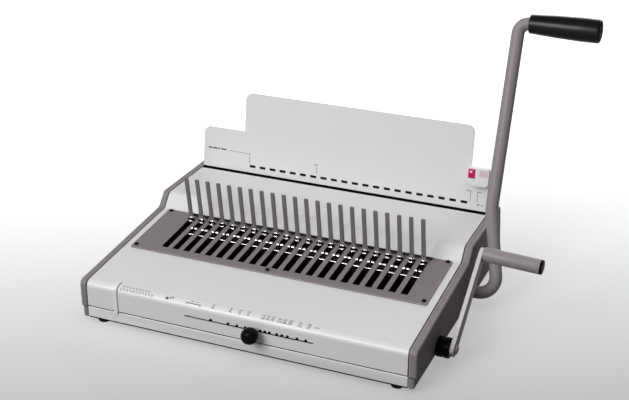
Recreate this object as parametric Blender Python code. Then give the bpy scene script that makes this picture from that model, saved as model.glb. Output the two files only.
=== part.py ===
"""Comb binding machine: a sloping body with a slotted deck, tines and hooks that open a plastic comb,
a paper throat with a standing guide, a punch lever at the right rear and a comb lever at the right front.

Metres, +Z up, the front faces -Y. The origin is under the middle of the whole machine's box, on the surface
that it stands on. Pieces are built in the machine's own frame (X from the middle of the body, Y from its
front face, Z from the ground), and the empty "machine" moves that frame to the origin.
"""

import math

import bmesh
import bpy
from mathutils import Vector

MM = 0.001

# Running and seating clearances
SEAT_GAP = 0.3 * MM
RUN_GAP = 0.3 * MM
SLIDE_GAP = 0.8 * MM

# Body: the shell between the two side panels, seen from the side
FOOT_HEIGHT = 6 * MM
COVER_WIDTH = 388.3 * MM
BODY_DEPTH = 330 * MM
FRONT_HEIGHT = 46 * MM
SLOPE_RUN = 184 * MM
SLOPE_RISE = 14.4 * MM
STEP_RUN = 14.3 * MM
STEP_RISE = 16 * MM
REAR_LEAN = 12 * MM
SEAM_HEIGHT = 14.8 * MM
SEAM_GAP = 1.0 * MM
WALL = 2 * MM
FRONT_EDGE_RADIUS = 8 * MM
STEP_RADIUS = 6 * MM
REAR_EDGE_RADIUS = 6 * MM
PAN_FLANGE_HEIGHT = 6 * MM

# Side panels and inner frame plates
PANEL_THICKNESS = 9.2 * MM
PANEL_PROUD = 2 * MM
PANEL_STEP = 2.2 * MM
PANEL_STEP_HEIGHT = 3 * MM
PANEL_TAPER = 3.5 * MM
PANEL_BEVEL = 1.5 * MM
FRAME_THICKNESS = 3 * MM
SHAFT_HOLE_MARGIN = 1.5 * MM

# Feet
FOOT_RADIUS = 8 * MM
FOOT_INSET_X = 14.5 * MM
FOOT_INSET_Y = 11 * MM

# Comb pitch: the standard spacing of plastic comb rings, 9/16 inch
PITCH = 14.2875 * MM
TINE_COUNT = 22
PUNCH_COUNT = 21
FIRST_TINE_X = -145.2 * MM
PUNCH_SIDE_MARGIN = 12.05 * MM

# Deck plate on the slope, with u measured up the slope from the front edge
DECK_SIDE_MARGIN = 9.4 * MM
DECK_REAR_MARGIN = 3.56 * MM
DECK_THICKNESS = 1.5 * MM
DECK_CORNER_RADIUS = 2 * MM
SLOT_WIDTH = 8.4 * MM
SLOT_END_MARGIN = 12 * MM
SLOT_FRONT_GAP = 1.3 * MM
OPENING_MARGIN = 2 * MM
SCREW_INSET_X = 4.75 * MM
SCREW_INSET_U = 6.5 * MM
MIDDLE_SCREW_X = -8 * MM
SCREW_HEAD_RADIUS = 2.7 * MM
SCREW_HEAD_HEIGHT = 1.2 * MM
SCREW_SHANK_RADIUS = 1.6 * MM
SCREW_LENGTH = 4.2 * MM

# Tines
TINE_WIDTH = 5 * MM
TINE_THICKNESS = 2.2 * MM
TINE_HEIGHT = 60 * MM
TINE_SLOT_GAP = 1.9 * MM
TINE_LEAN = math.radians(4)
TINE_FOOT_LENGTH = 4.5 * MM
TINE_FOOT_WIDTH = 7.4 * MM
TINE_FOOT_RISE = 0.8 * MM
TINE_BAR_THICKNESS = 4 * MM
TINE_BAR_TAIL = 8.5 * MM

# Hooks and their rail
HOOK_TO_TINE = 30.5 * MM
HOOK_LENGTH = 12 * MM
HOOK_RISE = 2.6 * MM
HOOK_THICKNESS = 6.4 * MM
HOOK_LIP = 2 * MM
RAIL_THICKNESS = 5 * MM
RAIL_REAR_MARGIN = 10 * MM
RAIL_FRONT_MARGIN = 6 * MM
RAIL_ARM_WIDTH = 18 * MM
GUIDE_LEDGE = 5.5 * MM
GUIDE_WALL = 4 * MM

# Comb drive: sector gears on the comb shaft under racks on the hook rail
GEAR_MODULE = 2 * MM
GEAR_TEETH = 24
PRESSURE_ANGLE = math.radians(20)
BACKLASH = 0.35 * MM
SWING_TEETH = 6
SPARE_TEETH = 1
RACK_BACK = 3 * MM
GEAR_WIDTH = 8 * MM
COMB_SHAFT_LEAD = 65.5 * MM
SHAFT_RADIUS = 5 * MM
BUSH_WALL = 3 * MM
BUSH_FLANGE = 3 * MM
BUSH_FLANGE_THICKNESS = 2 * MM
SECTOR_HUB_WALL = 5 * MM

# Comb lever
HUB_RADIUS = 11.5 * MM
HUB_NECK_RADIUS = 8.5 * MM
HUB_STEP = 7.5 * MM
HUB_LENGTH = 14.2 * MM
ARM_LENGTH = 111.5 * MM
ARM_LEAN = math.radians(43.8)
ARM_TILT = math.radians(2.7)
ARM_THICKNESS = 5 * MM
ARM_FOOT_RADIUS = 8.5 * MM
ARM_TOP_RADIUS = 7 * MM
HANDLE_RADIUS = 8.3 * MM
HANDLE_WALL = 2 * MM
HANDLE_LENGTH = 63.5 * MM
CAP_THICKNESS = 2.5 * MM
CAP_PLUG = 8 * MM
BOLT_HEAD_RADIUS = 5 * MM
BOLT_HEAD_HEIGHT = 2 * MM

# Selector: knob, slider and rod behind the front wall
SELECTOR_HEIGHT = 29 * MM
SELECTOR_X = 17.4 * MM
SELECTOR_SLOT_LEFT = -68 * MM
SELECTOR_SLOT_RIGHT = 87 * MM
SELECTOR_SLOT_HEIGHT = 2.6 * MM
NOTCH_WIDTH = 3.6 * MM
NOTCH_HEIGHT = 2.4 * MM
NOTCH_XS = [x * MM for x in (-35, -14, -3, 7, 25, 30.5, 36, 44.6, 50.6, 57.2, 68.5, 78.6)]
KNOB_RADIUS = 9.3 * MM
KNOB_LENGTH = 20 * MM
KNOB_EDGE = 5 * MM
KNOB_NECK_RADIUS = 4.5 * MM
KNOB_NECK_LENGTH = 5 * MM
BLADE_WIDTH = 6 * MM
SLIDER_WIDTH = 18 * MM
SLIDER_DEPTH = 10 * MM
SLIDER_HEIGHT = 11 * MM
ROD_RADIUS = 2.5 * MM

# Gauge strip bent over the front edge
STRIP_INSET = 39.35 * MM
STRIP_WIDTH = 6 * MM
STRIP_THICKNESS = 1 * MM
STRIP_REACH = 16 * MM
STRIP_DROP = 2 * MM

# Paper throat, punch pins and dies
THROAT_TO_REAR = 31.8 * MM
THROAT_WIDTH = 5.2 * MM
PAPER_DEPTH = 16 * MM
PIN_WIDTH = 8 * MM
PIN_HEIGHT = 3.2 * MM
PIN_DEPTH = 10.4 * MM
PIN_HOLE_GAP = 0.3 * MM
PIN_TIP_INSET = 0.4 * MM
DIE_THICKNESS = 10 * MM
DIE_HEIGHT = 16 * MM
PUNCH_GUIDE_THICKNESS = 4.5 * MM
PAPER_STOP_HEIGHT = 4.5 * MM
PIN_BAR_THICKNESS = 6 * MM
PIN_BAR_HEIGHT = 11.5 * MM

# Punch drive: cranks on the punch shaft pull draw bars that carry the pin bar
PUNCH_SHAFT_Y = 206 * MM
PUNCH_SHAFT_HEIGHT = 14 * MM
LEVER_LEAN = math.radians(20)
LEVER_SWING = math.radians(70)
PUNCH_STROKE = 10 * MM
CRANK_RADIUS = PUNCH_STROKE / 2 / math.sin(LEVER_SWING / 2)
CRANK_THICKNESS = 5 * MM
CRANK_HUB_WALL = 4 * MM
CRANK_PIN_RADIUS = 2.5 * MM
CRANK_LOBE_WALL = 2.5 * MM
CRANK_SLOT_GAP = 0.45 * MM
DRAW_BAR_THICKNESS = 5 * MM
DRAW_BAR_DEPTH = 11 * MM
YOKE_WALL = 5 * MM

# Punch lever tube, along its own plane: x from the middle of the body, v from the shaft
TUBE_RADIUS = 7.5 * MM
LEVER_PANEL_GAP = 0.65 * MM
LEVER_OFFSET = 21.5 * MM
LEVER_KINK_V = 99 * MM
LEVER_TOP_V = 316.5 * MM
LEVER_FOOT_BEND = 19 * MM
LEVER_KINK_BEND = 60 * MM
LEVER_TOP_BEND = 12 * MM
GRIP_BEND_GAP = 0.5 * MM
GRIP_LENGTH = 81 * MM
GRIP_INNER_RADIUS = 11 * MM
GRIP_OUTER_RADIUS = 13.5 * MM
GRIP_END_WALL = 6 * MM
GRIP_EDGE = 3 * MM

# Paper guide: a sheet that leans back behind the throat, with s measured up the sheet
SHEET_THICKNESS = 1.3 * MM
SHEET_LEAN = math.radians(8)
SHEET_LEFT_SHOULDER = 58 * MM
SHEET_RIGHT_SHOULDER = 46 * MM
SHEET_HEIGHT = 109.5 * MM
SHEET_LEFT_SHOULDER_WIDTH = 58.35 * MM
SHEET_RIGHT_SHOULDER_WIDTH = 25.35 * MM
SHEET_CORNER_RADIUS = 9 * MM
SHEET_FLANGE = 9 * MM

# Edge stop on the guide's right shoulder
STOP_OVERHANG = 0.15 * MM
STOP_WIDTH = 28.1 * MM
STOP_DROP = 9.7 * MM
STOP_HEIGHT = 24 * MM
STOP_CORNER_RADIUS = 5 * MM
STOP_POCKET_DEPTH = 5 * MM
STOP_FRONT_THICKNESS = 8 * MM
STOP_PAPER_REACH = 8.3 * MM
STOP_SADDLE_GAP = 6.5 * MM
STOP_BACK_THICKNESS = 2.7 * MM
STOP_BACK_HEIGHT = 22 * MM
BUTTON_INSET_X = 2.6 * MM
BUTTON_INSET_S = 1.9 * MM
BUTTON_WIDTH = 8.6 * MM
BUTTON_HEIGHT = 11 * MM
BUTTON_THICKNESS = 4 * MM
BUTTON_PROUD = 1.2 * MM
BUTTON_POCKET = 6.8 * MM
SPRING_RADIUS = 2.4 * MM
SPRING_WIRE_RADIUS = 0.25 * MM
SPRING_TURNS = 2
WINDOW_WIDTH = 9 * MM
WINDOW_HEIGHT = 7.5 * MM
WINDOW_THICKNESS = 1.2 * MM
WINDOW_INSET = 2 * MM

# Chip tray
TRAY_SIDE_GAP = 5.15 * MM
TRAY_HEIGHT = 34 * MM
TRAY_FRONT_GAP = 4 * MM
TRAY_REAR_INSET = 4 * MM
TRAY_CORNER_RADIUS = 3 * MM
TRAY_GRIP_WIDTH = 70 * MM
TRAY_GRIP_DEPTH = 10 * MM

# How finely round shapes are divided
ROUND_SIDES = 20
SMALL_SIDES = 10
ARC_STEPS = 4

# Heights and places worked out from the sizes above
BASE_Z = FOOT_HEIGHT
SEAM_Z = BASE_Z + SEAM_HEIGHT
FRONT_TOP_Z = BASE_Z + FRONT_HEIGHT
SLOPE_TOP_Z = FRONT_TOP_Z + SLOPE_RISE
TOP_Z = SLOPE_TOP_Z + STEP_RISE
FLOOR_Z = BASE_Z + WALL
SLOPE = math.atan2(SLOPE_RISE, SLOPE_RUN)
COVER_HALF = COVER_WIDTH / 2 - SEAT_GAP
PANEL_INNER_X = COVER_WIDTH / 2
PANEL_OUTER_X = PANEL_INNER_X + PANEL_THICKNESS
FRAME_OUTER_X = COVER_HALF - WALL - SEAT_GAP
FRAME_INNER_X = FRAME_OUTER_X - FRAME_THICKNESS
INSIDE_HALF = FRAME_INNER_X - SEAT_GAP
REAR_TOP_Y = BODY_DEPTH - REAR_LEAN
THROAT_FRONT_Y = REAR_TOP_Y - THROAT_TO_REAR
THROAT_REAR_Y = THROAT_FRONT_Y + THROAT_WIDTH
COVER_UNDER_W = -WALL
RAIL_TOP_W = COVER_UNDER_W - SLIDE_GAP
RAIL_UNDER_W = RAIL_TOP_W - RAIL_THICKNESS
RACK_TOP_W = RAIL_UNDER_W - SEAT_GAP
RACK_PITCH_W = RACK_TOP_W - RACK_BACK - 1.25 * GEAR_MODULE
PITCH_RADIUS = GEAR_MODULE * GEAR_TEETH / 2
COMB_SHAFT_W = RACK_PITCH_W - PITCH_RADIUS
TOOTH_PITCH = math.pi * GEAR_MODULE
DECK_TOP_W = SEAT_GAP + DECK_THICKNESS
HOOK_TRAVEL = SWING_TEETH * TOOTH_PITCH
DECK_WIDTH = COVER_WIDTH - 2 * DECK_SIDE_MARGIN
DECK_REAR_U = math.hypot(SLOPE_RUN, SLOPE_RISE) - DECK_REAR_MARGIN
SLOT_REAR_U = DECK_REAR_U - SLOT_END_MARGIN
TINE_U = SLOT_REAR_U - TINE_SLOT_GAP - TINE_THICKNESS / 2
HOOK_FRONT_U = TINE_U - HOOK_TO_TINE
SLOT_FRONT_U = HOOK_FRONT_U - HOOK_TRAVEL - SLOT_FRONT_GAP
DECK_FRONT_U = SLOT_FRONT_U - SLOT_END_MARGIN
COMB_SHAFT_U = HOOK_FRONT_U - COMB_SHAFT_LEAD
COMB_SHAFT_Y = COMB_SHAFT_U * math.cos(SLOPE) - COMB_SHAFT_W * math.sin(SLOPE)
COMB_SHAFT_Z = FRONT_TOP_Z + COMB_SHAFT_U * math.sin(SLOPE) + COMB_SHAFT_W * math.cos(SLOPE)
PUNCH_SHAFT_Z = BASE_Z + PUNCH_SHAFT_HEIGHT
SELECTOR_Z = BASE_Z + SELECTOR_HEIGHT
LAST_TINE_X = FIRST_TINE_X + (TINE_COUNT - 1) * PITCH
TINE_XS = [FIRST_TINE_X + i * PITCH for i in range(TINE_COUNT)]
SHEET_FOOT_Z = TOP_Z - WALL - SEAT_GAP - SHEET_THICKNESS
PUNCH_GUIDE_TOP_Z = SHEET_FOOT_Z - SEAT_GAP
PIN_Z = TOP_Z - PIN_DEPTH
HUB_START_X = PANEL_OUTER_X + SEAT_GAP
ARM_START_X = HUB_START_X + HUB_LENGTH + SEAT_GAP + ARM_FOOT_RADIUS * math.sin(ARM_TILT)
ARM_END_X = ARM_START_X + ARM_THICKNESS
CRANK_OUTER_X = INSIDE_HALF - BUSH_FLANGE_THICKNESS - SEAT_GAP
CRANK_INNER_X = CRANK_OUTER_X - CRANK_THICKNESS
DRAW_OUTER_X = CRANK_INNER_X - SLIDE_GAP
DRAW_INNER_X = DRAW_OUTER_X - DRAW_BAR_THICKNESS
LAST_PUNCH_X = DRAW_INNER_X - PUNCH_SIDE_MARGIN
PUNCH_XS = [LAST_PUNCH_X - i * PITCH for i in range(PUNCH_COUNT)]
PIN_BAR_FRONT_Y = THROAT_REAR_Y + PUNCH_GUIDE_THICKNESS + SLIDE_GAP + PUNCH_STROKE
LEVER_UP_X = PANEL_OUTER_X + LEVER_PANEL_GAP + TUBE_RADIUS
LEVER_OUT_X = LEVER_UP_X + LEVER_OFFSET
GRIP_START_X = LEVER_UP_X + LEVER_TOP_BEND + GRIP_BEND_GAP
GRIP_END_X = GRIP_START_X + GRIP_LENGTH
SHEET_MAIN_LEFT = SHEET_LEFT_SHOULDER_WIDTH - COVER_HALF
SHEET_MAIN_RIGHT = COVER_HALF - SHEET_RIGHT_SHOULDER_WIDTH
STOP_RIGHT = COVER_HALF + STOP_OVERHANG
STOP_LEFT = STOP_RIGHT - STOP_WIDTH
STOP_BOTTOM_S = SHEET_RIGHT_SHOULDER - STOP_DROP
STOP_TOP_S = STOP_BOTTOM_S + STOP_HEIGHT
BUTTON_X = STOP_LEFT + BUTTON_INSET_X + BUTTON_WIDTH / 2
BUTTON_S = STOP_TOP_S - BUTTON_INSET_S - BUTTON_HEIGHT / 2
STRIP_X = STRIP_INSET - COVER_HALF
TRAY_HALF = DRAW_INNER_X - TRAY_SIDE_GAP

# The side view of the whole body: (y, z, corner radius), from the front foot round to the rear foot
BODY_CORNERS = [
    (0, BASE_Z, 0),
    (0, FRONT_TOP_Z, FRONT_EDGE_RADIUS),
    (SLOPE_RUN, SLOPE_TOP_Z, STEP_RADIUS),
    (SLOPE_RUN + STEP_RUN, TOP_Z, STEP_RADIUS),
    (REAR_TOP_Y, TOP_Z, REAR_EDGE_RADIUS),
    (BODY_DEPTH, SEAM_Z, 0),
    (BODY_DEPTH, BASE_Z, 0),
]

FINISHES = {
    "cover_white": ((0.66, 0.66, 0.67), 0.45, 0.0),
    "panel_grey": ((0.22, 0.20, 0.205), 0.5, 0.0),
    "deck_grey": ((0.20, 0.18, 0.185), 0.45, 0.2),
    "tine_grey": ((0.14, 0.125, 0.125), 0.4, 0.3),
    "steel": ((0.55, 0.55, 0.56), 0.35, 1.0),
    "chrome": ((0.8, 0.8, 0.82), 0.12, 1.0),
    "lever_grey": ((0.24, 0.21, 0.22), 0.4, 0.1),
    "black_plastic": ((0.012, 0.012, 0.013), 0.4, 0.0),
    "black_rubber": ((0.01, 0.01, 0.01), 0.8, 0.0),
    "guide_grey": ((0.68, 0.68, 0.69), 0.4, 0.0),
    "magenta": ((0.62, 0.0, 0.13), 0.3, 0.0),
    "pink": ((0.72, 0.45, 0.52), 0.2, 0.0),
}


def finish(name):
    """The material for one finish, made on first use."""
    material = bpy.data.materials.get(name)
    if material is None:
        colour, roughness, metallic = FINISHES[name]
        material = bpy.data.materials.new(name)
        material.use_nodes = True
        shader = material.node_tree.nodes["Principled BSDF"]
        shader.inputs["Base Color"].default_value = (*colour, 1)
        shader.inputs["Roughness"].default_value = roughness
        shader.inputs["Metallic"].default_value = metallic
    return material


def empty(name, parent=None, location=(0, 0, 0), turn=0.0):
    """A frame for pieces to hang on, turned about X."""
    frame = bpy.data.objects.new(name, None)
    bpy.context.scene.collection.objects.link(frame)
    frame.parent = parent
    frame.location = location
    frame.rotation_euler.x = turn
    return frame


def piece(name, bm, parent, look):
    """Turn a finished bmesh into a named object."""
    bmesh.ops.remove_doubles(bm, verts=bm.verts, dist=1e-7)
    bmesh.ops.recalc_face_normals(bm, faces=bm.faces)
    mesh = bpy.data.meshes.new(name)
    bm.to_mesh(mesh)
    bm.free()
    mesh.shade_smooth()
    mesh.set_sharp_from_angle(angle=math.radians(35))
    mesh.materials.append(finish(look))
    made = bpy.data.objects.new(name, mesh)
    bpy.context.scene.collection.objects.link(made)
    made.parent = parent
    return made


def boolean(target, other, operation):
    """Cut or join with a helper that isn't a piece of its own."""
    other.hide_render = True
    other.display_type = "WIRE"
    modifier = target.modifiers.new(other.name, "BOOLEAN")
    modifier.operation = operation
    modifier.object = other


def on_yz(a, b, along):
    return (along, a, b)


def on_xy(a, b, along):
    return (a, b, along)


def on_xz(a, b, along):
    return (a, along, b)


def add_prism(bm, outline, plane, start, end):
    """Extrude a closed outline from start to end, square to its plane."""
    corners = [bm.verts.new(plane(a, b, start)) for a, b in outline]
    face = bm.faces.new(corners)
    pulled = bmesh.ops.extrude_face_region(bm, geom=[face])
    moved = [item for item in pulled["geom"] if isinstance(item, bmesh.types.BMVert)]
    bmesh.ops.translate(bm, verts=moved, vec=plane(0, 0, end - start))


def prism(name, outline, plane, start, end, parent, look):
    bm = bmesh.new()
    add_prism(bm, outline, plane, start, end)
    return piece(name, bm, parent, look)


def prisms(name, shapes, parent, look):
    """Several separate prisms in one mesh, for a row of cutters or of like shapes to join on."""
    bm = bmesh.new()
    for outline, plane, start, end in shapes:
        add_prism(bm, outline, plane, start, end)
    return piece(name, bm, parent, look)


def turned(name, profile, axis, parent, look, sides=ROUND_SIDES, location=(0, 0, 0)):
    """Spin a profile of (radius, place along the axis) points right round an axis."""
    across = Vector((1, 0, 0)) if axis[2] else Vector((0, 0, 1))
    bm = bmesh.new()
    rim = [bm.verts.new(across * radius + Vector(axis) * along) for radius, along in profile]
    edges = [bm.edges.new(pair) for pair in zip(rim, rim[1:])]
    if profile[0][0] > 0 and profile[-1][0] > 0:
        edges.append(bm.edges.new((rim[-1], rim[0])))
    bmesh.ops.spin(
        bm,
        geom=rim + edges,
        cent=(0, 0, 0),
        axis=axis,
        angle=math.tau,
        steps=sides,
        use_merge=True,
    )
    made = piece(name, bm, parent, look)
    made.location = location
    return made


def ring_profile(inner, outer, start, end):
    return [(inner, start), (outer, start), (outer, end), (inner, end)]


def rod_profile(radius, start, end):
    return [(0, start), (radius, start), (radius, end), (0, end)]


def rectangle(low_a, high_a, low_b, high_b):
    return [(low_a, low_b), (high_a, low_b), (high_a, high_b), (low_a, high_b)]


def circle(centre, radius, sides):
    return [
        (
            centre[0] + radius * math.cos(math.tau * i / sides),
            centre[1] + radius * math.sin(math.tau * i / sides),
        )
        for i in range(sides)
    ]


def moved_corners(corners, depth):
    """Each corner of an open path moved to its right by depth, mitred; radii follow the move."""
    points = [Vector(corner[:2]) for corner in corners]
    ways = [(b - a).normalized() for a, b in zip(points, points[1:])]
    moved = []
    for i, point in enumerate(points):
        before = ways[max(i - 1, 0)]
        after = ways[min(i, len(ways) - 1)]
        right_before = Vector((before.y, -before.x))
        right_after = Vector((after.y, -after.x))
        shift = (right_before + right_after) * (depth / (1 + right_before.dot(right_after)))
        turn = before.x * after.y - before.y * after.x
        radius = corners[i][2]
        if radius > 0:
            radius = max(radius + math.copysign(depth, turn), 0)
        moved.append((*(point + shift), radius))
    return moved


def rounded(corners, closed=False):
    """Points along a path whose corners (a, b, radius) are rounded with arcs."""
    path = []
    count = len(corners)
    for i, (a, b, radius) in enumerate(corners):
        here = Vector((a, b))
        if radius == 0 or (not closed and i in (0, count - 1)):
            path.append((a, b))
            continue
        back = (Vector(corners[i - 1][:2]) - here).normalized()
        ahead = (Vector(corners[(i + 1) % count][:2]) - here).normalized()
        half = back.angle(ahead) / 2
        centre = here + (back + ahead).normalized() * (radius / math.sin(half))
        start = here + back * (radius / math.tan(half)) - centre
        end = here + ahead * (radius / math.tan(half)) - centre
        sweep = math.pi - 2 * half
        for step in range(ARC_STEPS + 1):
            share = step / ARC_STEPS
            spoke = (
                start * math.sin((1 - share) * sweep) + end * math.sin(share * sweep)
            ) / math.sin(sweep)
            path.append(tuple(centre + spoke))
    return path


def skin(corners, depth):
    return rounded(moved_corners(corners, depth))


def shell(corners, thickness):
    """A bent sheet: the outer path and the same path moved inward."""
    return skin(corners, 0) + skin(corners, thickness)[::-1]


def link(start, start_radius, end, end_radius):
    """The outline round two circles and the flanks between them."""
    way = Vector(end) - Vector(start)
    heading = math.atan2(way.y, way.x)
    open_angle = math.acos((start_radius - end_radius) / way.length)
    outline = []
    for centre, radius, first, last in (
        (end, end_radius, heading - open_angle, heading + open_angle),
        (start, start_radius, heading + open_angle, heading + math.tau - open_angle),
    ):
        steps = 2 * ARC_STEPS
        for step in range(steps + 1):
            angle = first + (last - first) * step / steps
            outline.append(
                (centre[0] + radius * math.cos(angle), centre[1] + radius * math.sin(angle))
            )
    return outline


def both_sides():
    return (("left", -1), ("right", 1))


def side_span(side, inner, outer):
    """Start and end along X for a plate on one side, given distances from the middle."""
    return (inner, outer) if side > 0 else (-outer, -inner)


def tube(name, points, radius, parent, look, sides_level):
    """A round bar along a path, as a curve with a bevel and filled ends."""
    curve = bpy.data.curves.new(name, "CURVE")
    curve.dimensions = "3D"
    curve.bevel_depth = radius
    curve.bevel_resolution = sides_level
    curve.use_fill_caps = True
    spline = curve.splines.new("POLY")
    spline.points.add(len(points) - 1)
    for place, point in zip(spline.points, points):
        place.co = (*point, 1)
    curve.materials.append(finish(look))
    made = bpy.data.objects.new(name, curve)
    bpy.context.scene.collection.objects.link(made)
    made.parent = parent
    return made


def make_casing(machine, deck):
    """Base pan, top cover, rear cover and the two side panels."""
    pan_rear = BODY_DEPTH - WALL - SEAT_GAP
    pan_wall_top = SEAM_Z - SEAM_GAP / 2
    pan_outline = [
        (0, BASE_Z),
        (pan_rear, BASE_Z),
        (pan_rear, FLOOR_Z),
        (WALL, FLOOR_Z),
        (WALL, pan_wall_top),
        (0, pan_wall_top),
    ]
    pan = prism("base_pan", pan_outline, on_yz, -COVER_HALF, COVER_HALF, machine, "cover_white")
    flange = rectangle(WALL / 2, pan_rear, BASE_Z + WALL / 2, BASE_Z + WALL + PAN_FLANGE_HEIGHT)
    flanges = [
        (flange, on_yz, *side_span(side, COVER_HALF - WALL, COVER_HALF)) for _, side in both_sides()
    ]
    boolean(pan, prisms("pan_flanges", flanges, machine, "cover_white"), "UNION")

    cover_corners = [
        (0, SEAM_Z + SEAM_GAP / 2, 0),
        *BODY_CORNERS[1:4],
        (THROAT_FRONT_Y, TOP_Z, 0),
    ]
    cover = prism(
        "top_cover", shell(cover_corners, WALL), on_yz, -COVER_HALF, COVER_HALF, machine, "cover_white"
    )
    slot_edge = SLOT_WIDTH / 2 + OPENING_MARGIN
    opening = rectangle(
        FIRST_TINE_X - slot_edge,
        LAST_TINE_X + slot_edge,
        SLOT_FRONT_U - OPENING_MARGIN / 2,
        SLOT_REAR_U + OPENING_MARGIN / 2,
    )
    cut_depth = 3 * WALL
    boolean(
        cover,
        prism("deck_opening", opening, on_xy, -cut_depth, cut_depth, deck, "cover_white"),
        "DIFFERENCE",
    )
    boolean(cover, selector_cut(machine), "DIFFERENCE")

    rear_corners = [
        (THROAT_REAR_Y + SHEET_THICKNESS + 2 * SLIDE_GAP, TOP_Z, 0),
        *BODY_CORNERS[4:6],
        (BODY_DEPTH, BASE_Z, 0),
    ]
    rear = prism(
        "rear_cover", shell(rear_corners, WALL), on_yz, -COVER_HALF, COVER_HALF, machine, "cover_white"
    )
    tray_half = TRAY_HALF + SLIDE_GAP
    tray_window = rectangle(-tray_half, tray_half, BASE_Z - WALL, FLOOR_Z + TRAY_HEIGHT + 2 * SLIDE_GAP)
    boolean(
        rear,
        prism(
            "tray_window",
            tray_window,
            on_xz,
            REAR_TOP_Y,
            BODY_DEPTH + 2 * WALL,
            machine,
            "cover_white",
        ),
        "DIFFERENCE",
    )

    for label, side in both_sides():
        make_side_panel(f"{label}_side_panel", side, machine)
    return cover


def make_side_panel(name, side, machine):
    """A grey moulded panel whose outer face steps in at the seam and tapers below it."""
    bm = bmesh.new()
    add_prism(bm, skin(BODY_CORNERS, -PANEL_PROUD), on_yz, *side_span(side, PANEL_INNER_X, PANEL_OUTER_X))
    step_low = SEAM_Z - PANEL_STEP_HEIGHT
    for height in (SEAM_Z, step_low):
        everything = bm.verts[:] + bm.edges[:] + bm.faces[:]
        bmesh.ops.bisect_plane(bm, geom=everything, plane_co=(0, 0, height), plane_no=(0, 0, 1))
    for corner in bm.verts:
        outer = abs(corner.co.x) > (PANEL_INNER_X + PANEL_OUTER_X) / 2
        if outer and corner.co.z < SEAM_Z - PANEL_STEP_HEIGHT / 2:
            share = (step_low - corner.co.z) / (step_low - BASE_Z)
            corner.co.x -= side * (PANEL_STEP + PANEL_TAPER * share)
    panel = piece(name, bm, machine, "panel_grey")
    bevel = panel.modifiers.new("rounded_edges", "BEVEL")
    bevel.width = PANEL_BEVEL
    bevel.segments = 2
    bevel.limit_method = "ANGLE"
    bevel.angle_limit = math.radians(50)
    if side > 0:
        radius = SHAFT_RADIUS + SHAFT_HOLE_MARGIN
        reach = 2 * PANEL_THICKNESS
        holes = [
            (circle(centre, radius, ROUND_SIDES), on_yz, PANEL_INNER_X - reach, PANEL_OUTER_X + reach)
            for centre in shaft_centres()
        ]
        boolean(panel, prisms("panel_shaft_holes", holes, machine, "panel_grey"), "DIFFERENCE")


def shaft_centres():
    return ((COMB_SHAFT_Y, COMB_SHAFT_Z), (PUNCH_SHAFT_Y, PUNCH_SHAFT_Z))


def make_feet(machine):
    foot_x = COVER_HALF - FOOT_INSET_X
    for end, y in (("front", FOOT_INSET_Y), ("rear", BODY_DEPTH - WALL - FOOT_INSET_Y)):
        for label, side in both_sides():
            profile = [
                (0, 0),
                (FOOT_RADIUS * 0.85, 0),
                (FOOT_RADIUS, FOOT_HEIGHT / 4),
                (FOOT_RADIUS, FOOT_HEIGHT - SEAT_GAP),
                (0, FOOT_HEIGHT - SEAT_GAP),
            ]
            turned(
                f"foot_{end}_{label}",
                profile,
                (0, 0, 1),
                machine,
                "black_rubber",
                sides=ROUND_SIDES,
                location=(side * foot_x, y, 0),
            )


def make_frame_plates(machine):
    """Steel plates inside the side panels, bored for the bushes of both shafts."""
    under = moved_corners(BODY_CORNERS, WALL + SLIDE_GAP)
    front, rear = under[0][0], under[-1][0]
    low = FLOOR_Z + SEAT_GAP
    upper = [(y, min(z, PUNCH_GUIDE_TOP_Z)) for y, z in rounded(under)[1:-1]]
    outline = [(front, low), *upper, (rear, low)]
    bore = SHAFT_RADIUS + RUN_GAP + BUSH_WALL + SEAT_GAP
    for label, side in both_sides():
        start, end = side_span(side, FRAME_INNER_X, FRAME_OUTER_X)
        plate = prism(f"{label}_frame_plate", outline, on_yz, start, end, machine, "steel")
        holes = [
            (circle(centre, bore, ROUND_SIDES), on_yz, start - FRAME_THICKNESS, end + FRAME_THICKNESS)
            for centre in shaft_centres()
        ]
        boolean(plate, prisms(f"{label}_bush_holes", holes, machine, "steel"), "DIFFERENCE")
        for shaft, (y, z) in zip(("comb", "punch"), shaft_centres()):
            make_bush(f"{shaft}_bush_{label}", side, machine, (0, y, z))


def make_bush(name, side, machine, location):
    inner = SHAFT_RADIUS + RUN_GAP
    outer = inner + BUSH_WALL
    rim = outer + BUSH_FLANGE
    flange_end = INSIDE_HALF - BUSH_FLANGE_THICKNESS
    profile = [
        (inner, side * flange_end),
        (rim, side * flange_end),
        (rim, side * INSIDE_HALF),
        (outer, side * INSIDE_HALF),
        (outer, side * FRAME_OUTER_X),
        (inner, side * FRAME_OUTER_X),
    ]
    turned(name, profile, (1, 0, 0), machine, "steel", location=location)


def deck_screw_places():
    edge_x = DECK_WIDTH / 2 - SCREW_INSET_X
    rear_u = DECK_REAR_U - SCREW_INSET_U / 2
    return [(x, u) for u in (DECK_FRONT_U + SCREW_INSET_U, rear_u) for x in (-edge_x, MIDDLE_SCREW_X, edge_x)]


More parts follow.
